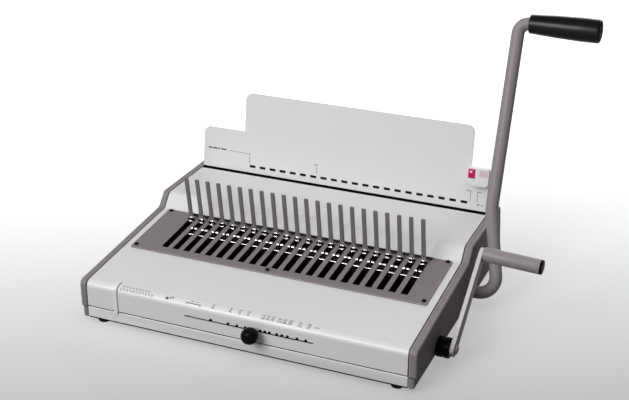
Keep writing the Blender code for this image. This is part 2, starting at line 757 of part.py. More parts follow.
def make_deck(deck, cover):
    """Slotted plate on the slope, its screws, and the fixed row of tines."""
    radius = DECK_CORNER_RADIUS
    outline = rounded(
        [
            (*corner, radius)
            for corner in rectangle(-DECK_WIDTH / 2, DECK_WIDTH / 2, DECK_FRONT_U, DECK_REAR_U)
        ],
        closed=True,
    )
    plate = prism("deck_plate", outline, on_xy, SEAT_GAP, DECK_TOP_W, deck, "deck_grey")
    depth = 3 * DECK_TOP_W
    slots = [
        (rectangle(x - SLOT_WIDTH / 2, x + SLOT_WIDTH / 2, SLOT_FRONT_U, SLOT_REAR_U), on_xy, -depth, depth)
        for x in TINE_XS
    ]
    boolean(plate, prisms("deck_slots", slots, deck, "deck_grey"), "DIFFERENCE")

    hole = SCREW_SHANK_RADIUS + RUN_GAP
    holes = [
        (circle(place, hole, SMALL_SIDES), on_xy, -SCREW_LENGTH, SCREW_LENGTH) for place in deck_screw_places()
    ]
    bores = prisms("screw_holes", holes, deck, "deck_grey")
    boolean(plate, bores, "DIFFERENCE")
    boolean(cover, bores, "DIFFERENCE")
    for number, (x, u) in enumerate(deck_screw_places(), start=1):
        seat = DECK_TOP_W + SEAT_GAP
        profile = [
            (0, DECK_TOP_W - SCREW_LENGTH),
            (SCREW_SHANK_RADIUS, DECK_TOP_W - SCREW_LENGTH),
            (SCREW_SHANK_RADIUS, seat),
            (SCREW_HEAD_RADIUS, seat),
            (SCREW_HEAD_RADIUS, seat + SCREW_HEAD_HEIGHT / 2),
            (SCREW_HEAD_RADIUS * 0.7, seat + SCREW_HEAD_HEIGHT),
            (0, seat + SCREW_HEAD_HEIGHT),
        ]
        turned(
            f"deck_screw_{number}",
            profile,
            (0, 0, 1),
            deck,
            "black_plastic",
            sides=SMALL_SIDES,
            location=(x, u, 0),
        )
    make_tines(deck)


def make_tines(deck):
    bar_top = COVER_UNDER_W - SEAT_GAP
    bar_low = bar_top - TINE_BAR_THICKNESS
    bar_front = TINE_U - TINE_THICKNESS / 2 - TINE_FOOT_LENGTH
    edge = SLOT_WIDTH
    bar = prism(
        "tine_comb",
        rectangle(FIRST_TINE_X - edge, LAST_TINE_X + edge, bar_front, TINE_U + TINE_BAR_TAIL),
        on_xy,
        bar_low,
        bar_top,
        deck,
        "tine_grey",
    )
    root = bar_top - TINE_BAR_THICKNESS / 2
    top = DECK_TOP_W + TINE_HEIGHT
    lean = -math.tan(TINE_LEAN) * (top - DECK_TOP_W)
    front, back = TINE_U - TINE_THICKNESS / 2, TINE_U + TINE_THICKNESS / 2
    outline = [
        (front, root),
        (back, root),
        (back, DECK_TOP_W),
        (back + lean, top),
        (front + lean, top),
        (front, DECK_TOP_W),
    ]
    tines = [(outline, on_yz, x - TINE_WIDTH / 2, x + TINE_WIDTH / 2) for x in TINE_XS]
    boolean(bar, prisms("tine_row", tines, deck, "tine_grey"), "UNION")
    foot = rectangle(bar_front + SEAT_GAP, TINE_U, root, DECK_TOP_W + TINE_FOOT_RISE)
    feet = [(foot, on_yz, x - TINE_FOOT_WIDTH / 2, x + TINE_FOOT_WIDTH / 2) for x in TINE_XS]
    boolean(bar, prisms("tine_feet", feet, deck, "tine_grey"), "UNION")


def make_hook_rail(deck):
    """The sliding rail with a hook in each slot but the first, carried on ledges at both ends."""
    rail_frame = empty("hook_rail_frame", deck, (0, HOOK_FRONT_U, 0))
    ledge_half = INSIDE_HALF - GUIDE_WALL - SEAT_GAP
    arm_inner = ledge_half - RAIL_ARM_WIDTH
    rear = HOOK_LENGTH + RAIL_REAR_MARGIN
    front = -RAIL_FRONT_MARGIN
    arm_front = rack_start() - HOOK_FRONT_U - OPENING_MARGIN
    outline = [
        (-ledge_half, arm_front),
        (-arm_inner, arm_front),
        (-arm_inner, front),
        (arm_inner, front),
        (arm_inner, arm_front),
        (ledge_half, arm_front),
        (ledge_half, rear),
        (-ledge_half, rear),
    ]
    rail = prism("hook_rail", outline, on_xy, RAIL_UNDER_W, RAIL_TOP_W, rail_frame, "chrome")
    root = RAIL_TOP_W - RAIL_THICKNESS / 2
    tip = DECK_TOP_W + HOOK_RISE
    hook = [
        (HOOK_LIP, root),
        (HOOK_LENGTH, root),
        (HOOK_LENGTH, tip - HOOK_LIP / 2),
        (HOOK_LENGTH - HOOK_LIP / 2, tip),
        (HOOK_LENGTH - HOOK_LIP, tip),
        (HOOK_LENGTH - 1.5 * HOOK_LIP, tip - HOOK_LIP),
        (HOOK_LENGTH / 2, DECK_TOP_W - HOOK_LIP),
        (2 * HOOK_LIP, DECK_TOP_W - HOOK_LIP),
        (HOOK_LIP, DECK_TOP_W),
        (0, DECK_TOP_W),
        (0, DECK_TOP_W - HOOK_LIP),
    ]
    hooks = [(hook, on_yz, x - HOOK_THICKNESS / 2, x + HOOK_THICKNESS / 2) for x in TINE_XS[1:]]
    boolean(rail, prisms("hook_row", hooks, rail_frame, "chrome"), "UNION")

    wall_inner = INSIDE_HALF - GUIDE_WALL
    ledge_inner = wall_inner - GUIDE_LEDGE
    ledge_top = RAIL_UNDER_W - SEAT_GAP
    ledge_low = ledge_top - GUIDE_WALL
    wall_top = COVER_UNDER_W - SEAT_GAP
    guide_front = rack_start() - OPENING_MARGIN - HOOK_TRAVEL
    guide_rear = HOOK_FRONT_U + rear
    for label, side in both_sides():
        profile = [
            (side * INSIDE_HALF, ledge_low),
            (side * INSIDE_HALF, wall_top),
            (side * wall_inner, wall_top),
            (side * wall_inner, ledge_top),
            (side * ledge_inner, ledge_top),
            (side * ledge_inner, ledge_low),
        ]
        prism(f"hook_guide_{label}", profile, on_xz, guide_front, guide_rear, deck, "steel")
        rack_outer = ledge_inner - SLIDE_GAP
        start, end = side_span(side, rack_outer - GEAR_WIDTH, rack_outer)
        prism(f"hook_rack_{label}", rack_outline(), on_yz, start, end, deck, "steel")
    return ledge_inner - SLIDE_GAP


def rack_start():
    return COMB_SHAFT_U - (SPARE_TEETH + 1) * TOOTH_PITCH


def rack_outline():
    """A straight rack whose gaps stand over the shaft as the sector's teeth come round."""
    tip_w = RACK_PITCH_W - GEAR_MODULE
    root_w = RACK_PITCH_W + 1.25 * GEAR_MODULE
    half = TOOTH_PITCH / 4 - BACKLASH / 2
    at_tip = half - GEAR_MODULE * math.tan(PRESSURE_ANGLE)
    at_root = half + 1.25 * GEAR_MODULE * math.tan(PRESSURE_ANGLE)
    count = SWING_TEETH + 2 * SPARE_TEETH + 2
    outline = [(rack_start(), RACK_TOP_W), (rack_start(), root_w)]
    for number in range(count):
        centre = COMB_SHAFT_U + (number - SPARE_TEETH - 0.5) * TOOTH_PITCH
        outline += [
            (centre - at_root, root_w),
            (centre - at_tip, tip_w),
            (centre + at_tip, tip_w),
            (centre + at_root, root_w),
        ]
    end = COMB_SHAFT_U + (SWING_TEETH + SPARE_TEETH + 1) * TOOTH_PITCH
    return outline + [(end, root_w), (end, RACK_TOP_W)]


def sector_outline():
    """A gear sector with involute teeth; angle 0 points at the rack, and grows towards the rear."""
    base = PITCH_RADIUS * math.cos(PRESSURE_ANGLE)
    root = PITCH_RADIUS - 1.25 * GEAR_MODULE
    tip = PITCH_RADIUS + GEAR_MODULE - BACKLASH
    step = math.tau / GEAR_TEETH
    half_at_pitch = step / 4 - BACKLASH / (2 * PITCH_RADIUS)

    def involute(radius):
        lean = math.acos(min(base / radius, 1))
        return math.tan(lean) - lean

    def half_angle(radius):
        return half_at_pitch + involute(PITCH_RADIUS) - involute(max(radius, base))

    flank = [root, *[base + (tip - base) * i / ARC_STEPS for i in range(ARC_STEPS + 1)]]
    spots = []
    for number in range(-SPARE_TEETH, SWING_TEETH + SPARE_TEETH + 1):
        spots += [(radius, number * step - half_angle(radius)) for radius in flank]
        spots += [(radius, number * step + half_angle(radius)) for radius in reversed(flank)]
    hub = SHAFT_RADIUS + SEAT_GAP + SECTOR_HUB_WALL
    first, last = spots[0][1], spots[-1][1]
    turns = 3 * ARC_STEPS
    for i in range(turns + 1):
        spots.append((hub, last + (math.tau + first - last) * i / turns))
    return [(radius * math.sin(angle), radius * math.cos(angle)) for radius, angle in spots]


def make_comb_drive(machine, rack_outer):
    """Comb shaft with its sector gears, and the comb lever outside the right panel."""
    pivot = empty("comb_pivot", machine, (0, COMB_SHAFT_Y, COMB_SHAFT_Z))
    turned(
        "comb_shaft",
        rod_profile(SHAFT_RADIUS, -FRAME_OUTER_X, ARM_END_X - SEAT_GAP),
        (1, 0, 0),
        pivot,
        "steel",
    )
    for label, side in both_sides():
        start, end = side_span(side, rack_outer - GEAR_WIDTH, rack_outer)
        sector = prism(f"comb_sector_{label}", sector_outline(), on_yz, start, end, pivot, "steel")
        sector.rotation_euler.x = SLOPE
        bore_outline = circle((0, 0), SHAFT_RADIUS + SEAT_GAP, ROUND_SIDES)
        bore = prism(
            f"sector_bore_{label}", bore_outline, on_yz, start - GEAR_WIDTH, end + GEAR_WIDTH, pivot, "steel"
        )
        boolean(sector, bore, "DIFFERENCE")
    make_comb_lever(pivot)


def make_comb_lever(pivot):
    bore = SHAFT_RADIUS + SEAT_GAP
    hub_end = HUB_START_X + HUB_LENGTH
    step = HUB_START_X + HUB_STEP
    hub = [
        (bore, HUB_START_X),
        (HUB_RADIUS, HUB_START_X),
        (HUB_RADIUS, step),
        (HUB_NECK_RADIUS, step),
        (HUB_NECK_RADIUS, hub_end),
        (bore, hub_end),
    ]
    turned("comb_lever_hub", hub, (1, 0, 0), pivot, "black_plastic")
    lean = empty("comb_lever_lean", pivot, (ARM_START_X, 0, 0), -ARM_LEAN)
    lever = empty("comb_lever_frame", lean)
    lever.rotation_euler.y = ARM_TILT
    arm = prism(
        "comb_lever_arm",
        link((0, 0), ARM_FOOT_RADIUS, (0, ARM_LENGTH), ARM_TOP_RADIUS),
        on_yz,
        0,
        ARM_THICKNESS,
        lever,
        "lever_grey",
    )
    arm_bore = prism(
        "arm_bore",
        circle((0, 0), bore, ROUND_SIDES),
        on_yz,
        ARM_START_X - ARM_THICKNESS,
        ARM_END_X + ARM_THICKNESS,
        pivot,
        "lever_grey",
    )
    boolean(arm, arm_bore, "DIFFERENCE")
    outside = ARM_THICKNESS + SEAT_GAP
    handle_end = outside + HANDLE_LENGTH
    inner = HANDLE_RADIUS - HANDLE_WALL
    arm_top = (0, 0, ARM_LENGTH)
    turned(
        "comb_lever_handle",
        ring_profile(inner, HANDLE_RADIUS, outside, handle_end),
        (1, 0, 0),
        lever,
        "lever_grey",
        location=arm_top,
    )
    plug = inner - SEAT_GAP
    cap_start = handle_end + SEAT_GAP
    cap = [
        (0, handle_end - CAP_PLUG),
        (plug, handle_end - CAP_PLUG),
        (plug, cap_start),
        (HANDLE_RADIUS, cap_start),
        (HANDLE_RADIUS, cap_start + CAP_THICKNESS / 2),
        (HANDLE_RADIUS - CAP_THICKNESS / 2, cap_start + CAP_THICKNESS),
        (0, cap_start + CAP_THICKNESS),
    ]
    turned("comb_lever_end_cap", cap, (1, 0, 0), lever, "black_plastic", location=arm_top)
    turned(
        "comb_lever_bolt",
        rod_profile(BOLT_HEAD_RADIUS, outside, outside + BOLT_HEAD_HEIGHT),
        (1, 0, 0),
        lever,
        "steel",
        sides=6,
    )


def selector_cut(machine):
    """The notched slot in the front wall, as one long cutter."""
    low = SELECTOR_Z - SELECTOR_SLOT_HEIGHT / 2
    high = SELECTOR_Z + SELECTOR_SLOT_HEIGHT / 2
    outline = [(SELECTOR_SLOT_LEFT, high), (SELECTOR_SLOT_LEFT, low), (SELECTOR_SLOT_RIGHT, low)]
    outline.append((SELECTOR_SLOT_RIGHT, high))
    for x in reversed(NOTCH_XS):
        outline += [
            (x + NOTCH_WIDTH / 2, high),
            (x + NOTCH_WIDTH / 4, high + NOTCH_HEIGHT),
            (x - NOTCH_WIDTH / 4, high + NOTCH_HEIGHT),
            (x - NOTCH_WIDTH / 2, high),
        ]
    return prism("selector_slot", outline, on_xz, -WALL, 2 * WALL, machine, "cover_white")


def make_selector(machine):
    """Front knob, the slider that its blade joins, and the rod that the slider runs on."""
    frame = empty("selector_frame", machine, (SELECTOR_X, 0, SELECTOR_Z))
    back = -SLIDE_GAP
    knob = rounded(
        [
            (0, back, 0),
            (KNOB_NECK_RADIUS, back, 0),
            (KNOB_NECK_RADIUS, -KNOB_NECK_LENGTH, 0),
            (KNOB_RADIUS, -KNOB_NECK_LENGTH, KNOB_EDGE / 2),
            (KNOB_RADIUS, -KNOB_LENGTH, KNOB_EDGE),
            (0, -KNOB_LENGTH, 0),
        ]
    )
    turned("selector_knob", knob, (0, 1, 0), frame, "black_plastic")
    block_front = WALL + SLIDE_GAP
    block_rear = block_front + SLIDER_DEPTH
    rod_y = (block_front + block_rear) / 2
    block = prism(
        "selector_slider",
        rectangle(block_front, block_rear, -SLIDER_HEIGHT / 2, SLIDER_HEIGHT / 2),
        on_yz,
        -SLIDER_WIDTH / 2,
        SLIDER_WIDTH / 2,
        frame,
        "black_plastic",
    )
    blade_half = SELECTOR_SLOT_HEIGHT / 2 - RUN_GAP
    blade = rectangle(-BLADE_WIDTH / 2, BLADE_WIDTH / 2, -blade_half, blade_half)
    boolean(
        block,
        prism("selector_blade", blade, on_xz, back + SEAT_GAP, rod_y - ROD_RADIUS, frame, "steel"),
        "UNION",
    )
    rod_bore = circle((rod_y, 0), ROD_RADIUS + RUN_GAP, SMALL_SIDES)
    boolean(
        block,
        prism("rod_bore", rod_bore, on_yz, -SLIDER_WIDTH, SLIDER_WIDTH, frame, "steel"),
        "DIFFERENCE",
    )
    turned(
        "selector_rod",
        rod_profile(ROD_RADIUS, -INSIDE_HALF, INSIDE_HALF),
        (1, 0, 0),
        machine,
        "steel",
        sides=SMALL_SIDES,
        location=(0, rod_y, SELECTOR_Z),
    )


def make_gauge_strip(machine):
    """A thin strip that follows the slope, the front edge and the front wall."""
    reach_z = FRONT_TOP_Z + STRIP_REACH * math.tan(SLOPE)
    corners = [
        (0, SEAM_Z - STRIP_DROP, 0),
        BODY_CORNERS[1],
        (STRIP_REACH, reach_z, 0),
    ]
    near = moved_corners(corners, -SEAT_GAP)
    outline = rounded(moved_corners(near, -STRIP_THICKNESS)) + rounded(near)[::-1]
    half = STRIP_WIDTH / 2
    prism("front_gauge_strip", outline, on_yz, STRIP_X - half, STRIP_X + half, machine, "cover_white")


def pin_rows(width_gap, height_gap, start, end):
    """One rectangle per punch pin, widened by a gap, from start to end along Y."""
    half_width = PIN_WIDTH / 2 + width_gap
    half_height = PIN_HEIGHT / 2 + height_gap
    return [
        (rectangle(x - half_width, x + half_width, PIN_Z - half_height, PIN_Z + half_height), on_xz, start, end)
        for x in PUNCH_XS
    ]


def make_dies(machine):
    """The die plate before the throat, and the plate behind it that guides the pins and stops the paper."""
    die_top = TOP_Z - WALL - SEAT_GAP
    die_front = THROAT_FRONT_Y - DIE_THICKNESS
    die = prism(
        "die_plate",
        rectangle(die_front, THROAT_FRONT_Y, die_top - DIE_HEIGHT, die_top),
        on_yz,
        -INSIDE_HALF,
        INSIDE_HALF,
        machine,
        "steel",
    )
    holes = pin_rows(PIN_HOLE_GAP, PIN_HOLE_GAP, die_front - WALL, THROAT_FRONT_Y + WALL)
    boolean(die, prisms("die_holes", holes, machine, "steel"), "DIFFERENCE")
    rear = THROAT_REAR_Y + PUNCH_GUIDE_THICKNESS
    stop_top = TOP_Z - PAPER_DEPTH
    low = stop_top - PAPER_STOP_HEIGHT
    outline = [
        (THROAT_FRONT_Y + SEAT_GAP, low),
        (rear, low),
        (rear, PUNCH_GUIDE_TOP_Z),
        (THROAT_REAR_Y, PUNCH_GUIDE_TOP_Z),
        (THROAT_REAR_Y, stop_top),
        (THROAT_FRONT_Y + SEAT_GAP, stop_top),
    ]
    guide = prism("punch_guide_plate", outline, on_yz, -INSIDE_HALF, INSIDE_HALF, machine, "steel")
    holes = pin_rows(PIN_HOLE_GAP, PIN_HOLE_GAP, THROAT_REAR_Y - WALL, rear + WALL)
    boolean(guide, prisms("guide_holes", holes, machine, "steel"), "DIFFERENCE")


def crank_pin_place():
    """The crank pin at rest: half of the swing behind the top of the shaft."""
    half = LEVER_SWING / 2
    return (CRANK_RADIUS * math.sin(half), CRANK_RADIUS * math.cos(half))


def make_punch_carriage(machine):
    """Pin bar behind the throat and the two draw bars that the cranks pull."""
    low = PIN_Z - PIN_BAR_HEIGHT / 2
    high = PIN_Z + PIN_BAR_HEIGHT / 2
    rear = PIN_BAR_FRONT_Y + PIN_BAR_THICKNESS
    half = DRAW_INNER_X - SEAT_GAP
    bar = prism(
        "punch_pin_bar", rectangle(PIN_BAR_FRONT_Y, rear, low, high), on_yz, -half, half, machine, "steel"
    )
    tips = THROAT_REAR_Y + PIN_TIP_INSET
    pins = pin_rows(0, 0, tips, PIN_BAR_FRONT_Y + PIN_BAR_THICKNESS / 2)
    boolean(bar, prisms("punch_pins", pins, machine, "steel"), "UNION")

    pin_y, pin_z = crank_pin_place()
    slot_top = PUNCH_SHAFT_Z + CRANK_RADIUS + CRANK_PIN_RADIUS + CRANK_SLOT_GAP
    shaft_room = SHAFT_RADIUS + CRANK_SLOT_GAP
    hole_front = PUNCH_SHAFT_Y - shaft_room
    hole_rear = PUNCH_SHAFT_Y + PUNCH_STROKE + shaft_room
    top = slot_top + YOKE_WALL
    under = top - DRAW_BAR_DEPTH
    leg_front = PIN_BAR_FRONT_Y
    yoke_low = PUNCH_SHAFT_Z - shaft_room - YOKE_WALL
    outline = [
        (hole_front - YOKE_WALL, yoke_low),
        (hole_rear + YOKE_WALL, yoke_low),
        (hole_rear + YOKE_WALL, under),
        (rear, under),
        (rear, high),
        (leg_front, high),
        (leg_front, top),
        (hole_front - YOKE_WALL, top),
    ]
    slot_half = CRANK_PIN_RADIUS + CRANK_SLOT_GAP
    slot_y = PUNCH_SHAFT_Y + pin_y
    hole = [
        (hole_front, PUNCH_SHAFT_Z - shaft_room),
        (hole_rear, PUNCH_SHAFT_Z - shaft_room),
        (hole_rear, PUNCH_SHAFT_Z + shaft_room),
        (slot_y + slot_half, PUNCH_SHAFT_Z + shaft_room),
        (slot_y + slot_half, slot_top),
        (slot_y - slot_half, slot_top),
        (slot_y - slot_half, PUNCH_SHAFT_Z + shaft_room),
        (hole_front, PUNCH_SHAFT_Z + shaft_room),
    ]
    for label, side in both_sides():
        start, end = side_span(side, DRAW_INNER_X, DRAW_OUTER_X)
        bar = prism(f"punch_draw_bar_{label}", outline, on_yz, start, end, machine, "steel")
        cutter = prism(
            f"yoke_hole_{label}",
            hole,
            on_yz,
            start - DRAW_BAR_THICKNESS,
            end + DRAW_BAR_THICKNESS,
            machine,
            "steel",
        )
        boolean(bar, cutter, "DIFFERENCE")


def make_punch_lever(machine):
    """Punch shaft with its cranks, and the bent lever with its grip."""
    pivot = empty("punch_pivot", machine, (0, PUNCH_SHAFT_Y, PUNCH_SHAFT_Z))
    shaft_end = PANEL_OUTER_X + SEAT_GAP
    turned(
        "punch_shaft", rod_profile(SHAFT_RADIUS, -FRAME_OUTER_X, shaft_end), (1, 0, 0), pivot, "steel"
    )
    bore = SHAFT_RADIUS + SEAT_GAP
    pin = crank_pin_place()
    outline = link((0, 0), bore + CRANK_HUB_WALL, pin, CRANK_PIN_RADIUS + CRANK_LOBE_WALL)
    for label, side in both_sides():
        start, end = side_span(side, CRANK_INNER_X, CRANK_OUTER_X)
        crank = prism(f"punch_crank_{label}", outline, on_yz, start, end, pivot, "steel")
        hole = prism(
            f"crank_bore_{label}",
            circle((0, 0), bore, ROUND_SIDES),
            on_yz,
            start - CRANK_THICKNESS,
            end + CRANK_THICKNESS,
            pivot,
            "steel",
        )
        boolean(crank, hole, "DIFFERENCE")
        start, end = side_span(side, DRAW_INNER_X, CRANK_OUTER_X - CRANK_THICKNESS / 2)
        stud = prism(
            f"crank_pin_{label}",
            circle(pin, CRANK_PIN_RADIUS, SMALL_SIDES),
            on_yz,
            start,
            end,
            pivot,
            "steel",
        )
        boolean(crank, stud, "UNION")

    lever_frame = empty("lever_frame", pivot, turn=-LEVER_LEAN)
    tube_end = GRIP_END_X - GRIP_END_WALL - SEAT_GAP
    corners = [
        (shaft_end + SEAT_GAP, 0, 0),
        (LEVER_OUT_X, 0, LEVER_FOOT_BEND),
        (LEVER_UP_X, LEVER_KINK_V, LEVER_KINK_BEND),
        (LEVER_UP_X, LEVER_TOP_V, LEVER_TOP_BEND),
        (tube_end, LEVER_TOP_V, 0),
    ]
    path = [(x, 0, v) for x, v in rounded(corners)]
    tube("punch_lever_tube", path, TUBE_RADIUS, lever_frame, "lever_grey", sides_level=4)
    inner = TUBE_RADIUS + SEAT_GAP
    grip = [
        (inner, GRIP_START_X),
        (GRIP_INNER_RADIUS - GRIP_EDGE / 2, GRIP_START_X),
        (GRIP_INNER_RADIUS, GRIP_START_X + GRIP_EDGE / 2),
        (GRIP_OUTER_RADIUS, GRIP_END_X - GRIP_EDGE),
        (GRIP_OUTER_RADIUS - GRIP_EDGE, GRIP_END_X),
        (0, GRIP_END_X),
        (0, GRIP_END_X - GRIP_END_WALL),
        (inner, GRIP_END_X - GRIP_END_WALL),
        (inner, GRIP_START_X),
    ]
    turned(
        "punch_lever_grip",
        grip,
        (1, 0, 0),
        lever_frame,
        "black_plastic",
        location=(0, 0, LEVER_TOP_V),
    )


def make_paper_guide(machine):
    """The standing sheet with its shoulders and foot flange, and the edge stop on it."""
    sheet = empty("guide_frame", machine, (0, THROAT_REAR_Y, SHEET_FOOT_Z), -SHEET_LEAN)
    radius = SHEET_CORNER_RADIUS
    outline = rounded(
        [
            (-COVER_HALF, 0, 0),
            (COVER_HALF, 0, 0),
            (COVER_HALF, SHEET_RIGHT_SHOULDER, radius),
            (SHEET_MAIN_RIGHT, SHEET_RIGHT_SHOULDER, 0),
            (SHEET_MAIN_RIGHT, SHEET_HEIGHT, radius),
            (SHEET_MAIN_LEFT, SHEET_HEIGHT, radius),
            (SHEET_MAIN_LEFT, SHEET_LEFT_SHOULDER, 0),
            (-COVER_HALF, SHEET_LEFT_SHOULDER, radius),
        ],
        closed=True,
    )
    guide = prism("paper_guide", outline, on_xz, 0, SHEET_THICKNESS, sheet, "guide_grey")
    back = Vector((math.cos(SHEET_LEAN), math.sin(SHEET_LEAN)))
    up = Vector((-math.sin(SHEET_LEAN), math.cos(SHEET_LEAN)))
    flange = [
        tuple(up * (SHEET_THICKNESS / 10)),
        tuple(back * SHEET_FLANGE),
        tuple(back * SHEET_FLANGE + up * SHEET_THICKNESS),
        tuple(up * SHEET_THICKNESS + back * (SHEET_THICKNESS / 10)),
    ]
    boolean(
        guide,
        prism("guide_flange", flange, on_yz, -INSIDE_HALF, INSIDE_HALF, sheet, "guide_grey"),
        "UNION",
    )
    make_edge_stop(sheet)


def make_edge_stop(sheet):
    """A saddle block on the right shoulder, with a paper pocket, a sprung button and a window."""
    frame = empty("edge_stop_frame", sheet)
    top = STOP_TOP_S
    face = -STOP_POCKET_DEPTH - STOP_FRONT_THICKNESS
    front = rounded(
        [
            (STOP_LEFT, STOP_BOTTOM_S, 2 * STOP_CORNER_RADIUS),
            (STOP_RIGHT, STOP_BOTTOM_S, STOP_CORNER_RADIUS),
            (STOP_RIGHT, top, STOP_CORNER_RADIUS),
            (STOP_LEFT, top, STOP_CORNER_RADIUS),
        ],
        closed=True,
    )
    stop = prism("edge_stop", front, on_xz, face, -STOP_POCKET_DEPTH, frame, "cover_white")
    bite = STOP_FRONT_THICKNESS / 8
    spacer = rectangle(
        STOP_LEFT + STOP_PAPER_REACH,
        STOP_RIGHT - STOP_CORNER_RADIUS,
        STOP_BOTTOM_S + STOP_CORNER_RADIUS,
        top - bite,
    )
    boolean(
        stop,
        prism("stop_fence", spacer, on_xz, -STOP_POCKET_DEPTH - bite, -SEAT_GAP, frame, "cover_white"),
        "UNION",
    )
    back_face = SHEET_THICKNESS + SEAT_GAP
    back_end = back_face + STOP_BACK_THICKNESS
    bridge_low = SHEET_RIGHT_SHOULDER + SEAT_GAP
    saddle = [
        (-STOP_POCKET_DEPTH - bite, bridge_low),
        (back_face, bridge_low),
        (back_face, top - STOP_BACK_HEIGHT),
        (back_end, top - STOP_BACK_HEIGHT),
        (back_end, top - 2 * bite),
        (-STOP_POCKET_DEPTH - bite, top - 2 * bite),
    ]
    saddle_left = SHEET_MAIN_RIGHT + STOP_SADDLE_GAP
    saddle_right = STOP_RIGHT - STOP_CORNER_RADIUS - bite
    boolean(
        stop,
        prism("stop_saddle", saddle, on_yz, saddle_left, saddle_right, frame, "cover_white"),
        "UNION",
    )
    room_x = BUTTON_WIDTH / 2 + RUN_GAP
    room_s = BUTTON_HEIGHT / 2 + RUN_GAP
    pocket = rectangle(BUTTON_X - room_x, BUTTON_X + room_x, BUTTON_S - room_s, BUTTON_S + room_s)
    pocket_floor = face + BUTTON_POCKET
    boolean(
        stop,
        prism("button_pocket", pocket, on_xz, face - WALL, pocket_floor, frame, "cover_white"),
        "DIFFERENCE",
    )
    half_x = BUTTON_WIDTH / 2
    half_s = BUTTON_HEIGHT / 2
    button_front = face - BUTTON_PROUD
    button_back = button_front + BUTTON_THICKNESS
    cap = rounded(
        [
            (*corner, STOP_CORNER_RADIUS / 4)
            for corner in rectangle(BUTTON_X - half_x, BUTTON_X + half_x, BUTTON_S - half_s, BUTTON_S + half_s)
        ],
        closed=True,
    )
    prism("edge_stop_button", cap, on_xz, button_front, button_back, frame, "magenta")
    make_button_spring(frame, button_back, pocket_floor)

    window_right = STOP_RIGHT - WINDOW_INSET
    window_top = top - WINDOW_INSET
    recess = rectangle(
        window_right - WINDOW_WIDTH - RUN_GAP,
        window_right + RUN_GAP,
        window_top - WINDOW_HEIGHT - RUN_GAP,
        window_top + RUN_GAP,
    )
    recess_floor = face + WINDOW_THICKNESS
    boolean(
        stop,
        prism("window_recess", recess, on_xz, face - WALL, recess_floor, frame, "cover_white"),
        "DIFFERENCE",
    )
    tile = rectangle(window_right - WINDOW_WIDTH, window_right, window_top - WINDOW_HEIGHT, window_top)
    prism("edge_stop_window", tile, on_xz, face, recess_floor - SEAT_GAP, frame, "pink")


def make_button_spring(frame, button_back, pocket_floor):
    """A short coil between the button and the floor of its pocket."""
    start = button_back + SEAT_GAP + SPRING_WIRE_RADIUS
    end = pocket_floor - SEAT_GAP - SPRING_WIRE_RADIUS
    per_turn = 8
    count = SPRING_TURNS * per_turn
    points = []
    for i in range(count + 1):
        angle = math.tau * i / per_turn
        points.append(
            (
                BUTTON_X + SPRING_RADIUS * math.cos(angle),
                start + (end - start) * i / count,
                BUTTON_S + SPRING_RADIUS * math.sin(angle),
            )
        )
    rise = (end - start) / SPRING_TURNS
    print(f"edge_stop_spring: least gap between turns {(rise - 2 * SPRING_WIRE_RADIUS) / MM:.2f} mm")
    tube("edge_stop_spring", points, SPRING_WIRE_RADIUS, frame, "steel", sides_level=1)


def make_chip_tray(machine):
    """An open tray under the dies that pulls out of the rear."""
    frame = empty("chip_tray_frame", machine, (0, BODY_DEPTH, FLOOR_Z))
    front = PUNCH_SHAFT_Y + SHAFT_RADIUS + TRAY_FRONT_GAP - BODY_DEPTH
    rear = -TRAY_REAR_INSET
    outline = rounded(
        [(*corner, TRAY_CORNER_RADIUS) for corner in rectangle(-TRAY_HALF, TRAY_HALF, front, rear)],
        closed=True,
    )
    low = SEAT_GAP
    tray = prism("chip_tray", outline, on_xy, low, low + TRAY_HEIGHT, frame, "black_plastic")
    inside = rectangle(WALL - TRAY_HALF, TRAY_HALF - WALL, front + WALL, rear - WALL)
    boolean(
        tray,
        prism("tray_inside", inside, on_xy, low + WALL, 2 * TRAY_HEIGHT, frame, "black_plastic"),
        "DIFFERENCE",
    )
    grip_half = TRAY_GRIP_WIDTH / 2
    notch = rectangle(-grip_half, grip_half, low + TRAY_HEIGHT - TRAY_GRIP_DEPTH, 2 * TRAY_HEIGHT)
    boolean(
        tray,
        prism("tray_grip", notch, on_xz, rear - 2 * WALL, rear + WALL, frame, "black_plastic"),
        "DIFFERENCE",
    )


def main():
    for old in list(bpy.data.objects):
        bpy.data.objects.remove(old, do_unlink=True)
    middle_x = (GRIP_END_X - PANEL_OUTER_X) / 2
    middle_y = (BODY_DEPTH + PANEL_PROUD - KNOB_LENGTH) / 2
    machine = empty("machine", None, (-middle_x, -middle_y, 0))
    deck = empty("deck_frame", machine, (0, 0, FRONT_TOP_Z), SLOPE)
    cover = make_casing(machine, deck)
    make_feet(machine)
    make_frame_plates(machine)
    make_deck(deck, cover)
    rack_outer = make_hook_rail(deck)
    make_comb_drive(machine, rack_outer)
    make_selector(machine)
    make_gauge_strip(machine)
    make_dies(machine)
    make_punch_carriage(machine)
    make_punch_lever(machine)
    make_paper_guide(machine)
    make_chip_tray(machine)


main()
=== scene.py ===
"""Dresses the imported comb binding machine: modelled pieces, finishes, studio and camera.

Pieces are drawn in millimetres, in the machine's frame (X from the middle of the body, Y from its front face,
Z from the ground) or in a frame that leans with the deck, the guide or a lever. Their meshes are in metres,
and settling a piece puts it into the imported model's own frame.
"""

import math
from contextlib import contextmanager

import bpy
from bpy.props import FloatProperty, FloatVectorProperty, IntProperty, PointerProperty
from bpy.types import Operator, Panel, PropertyGroup
from mathutils import Matrix, Vector


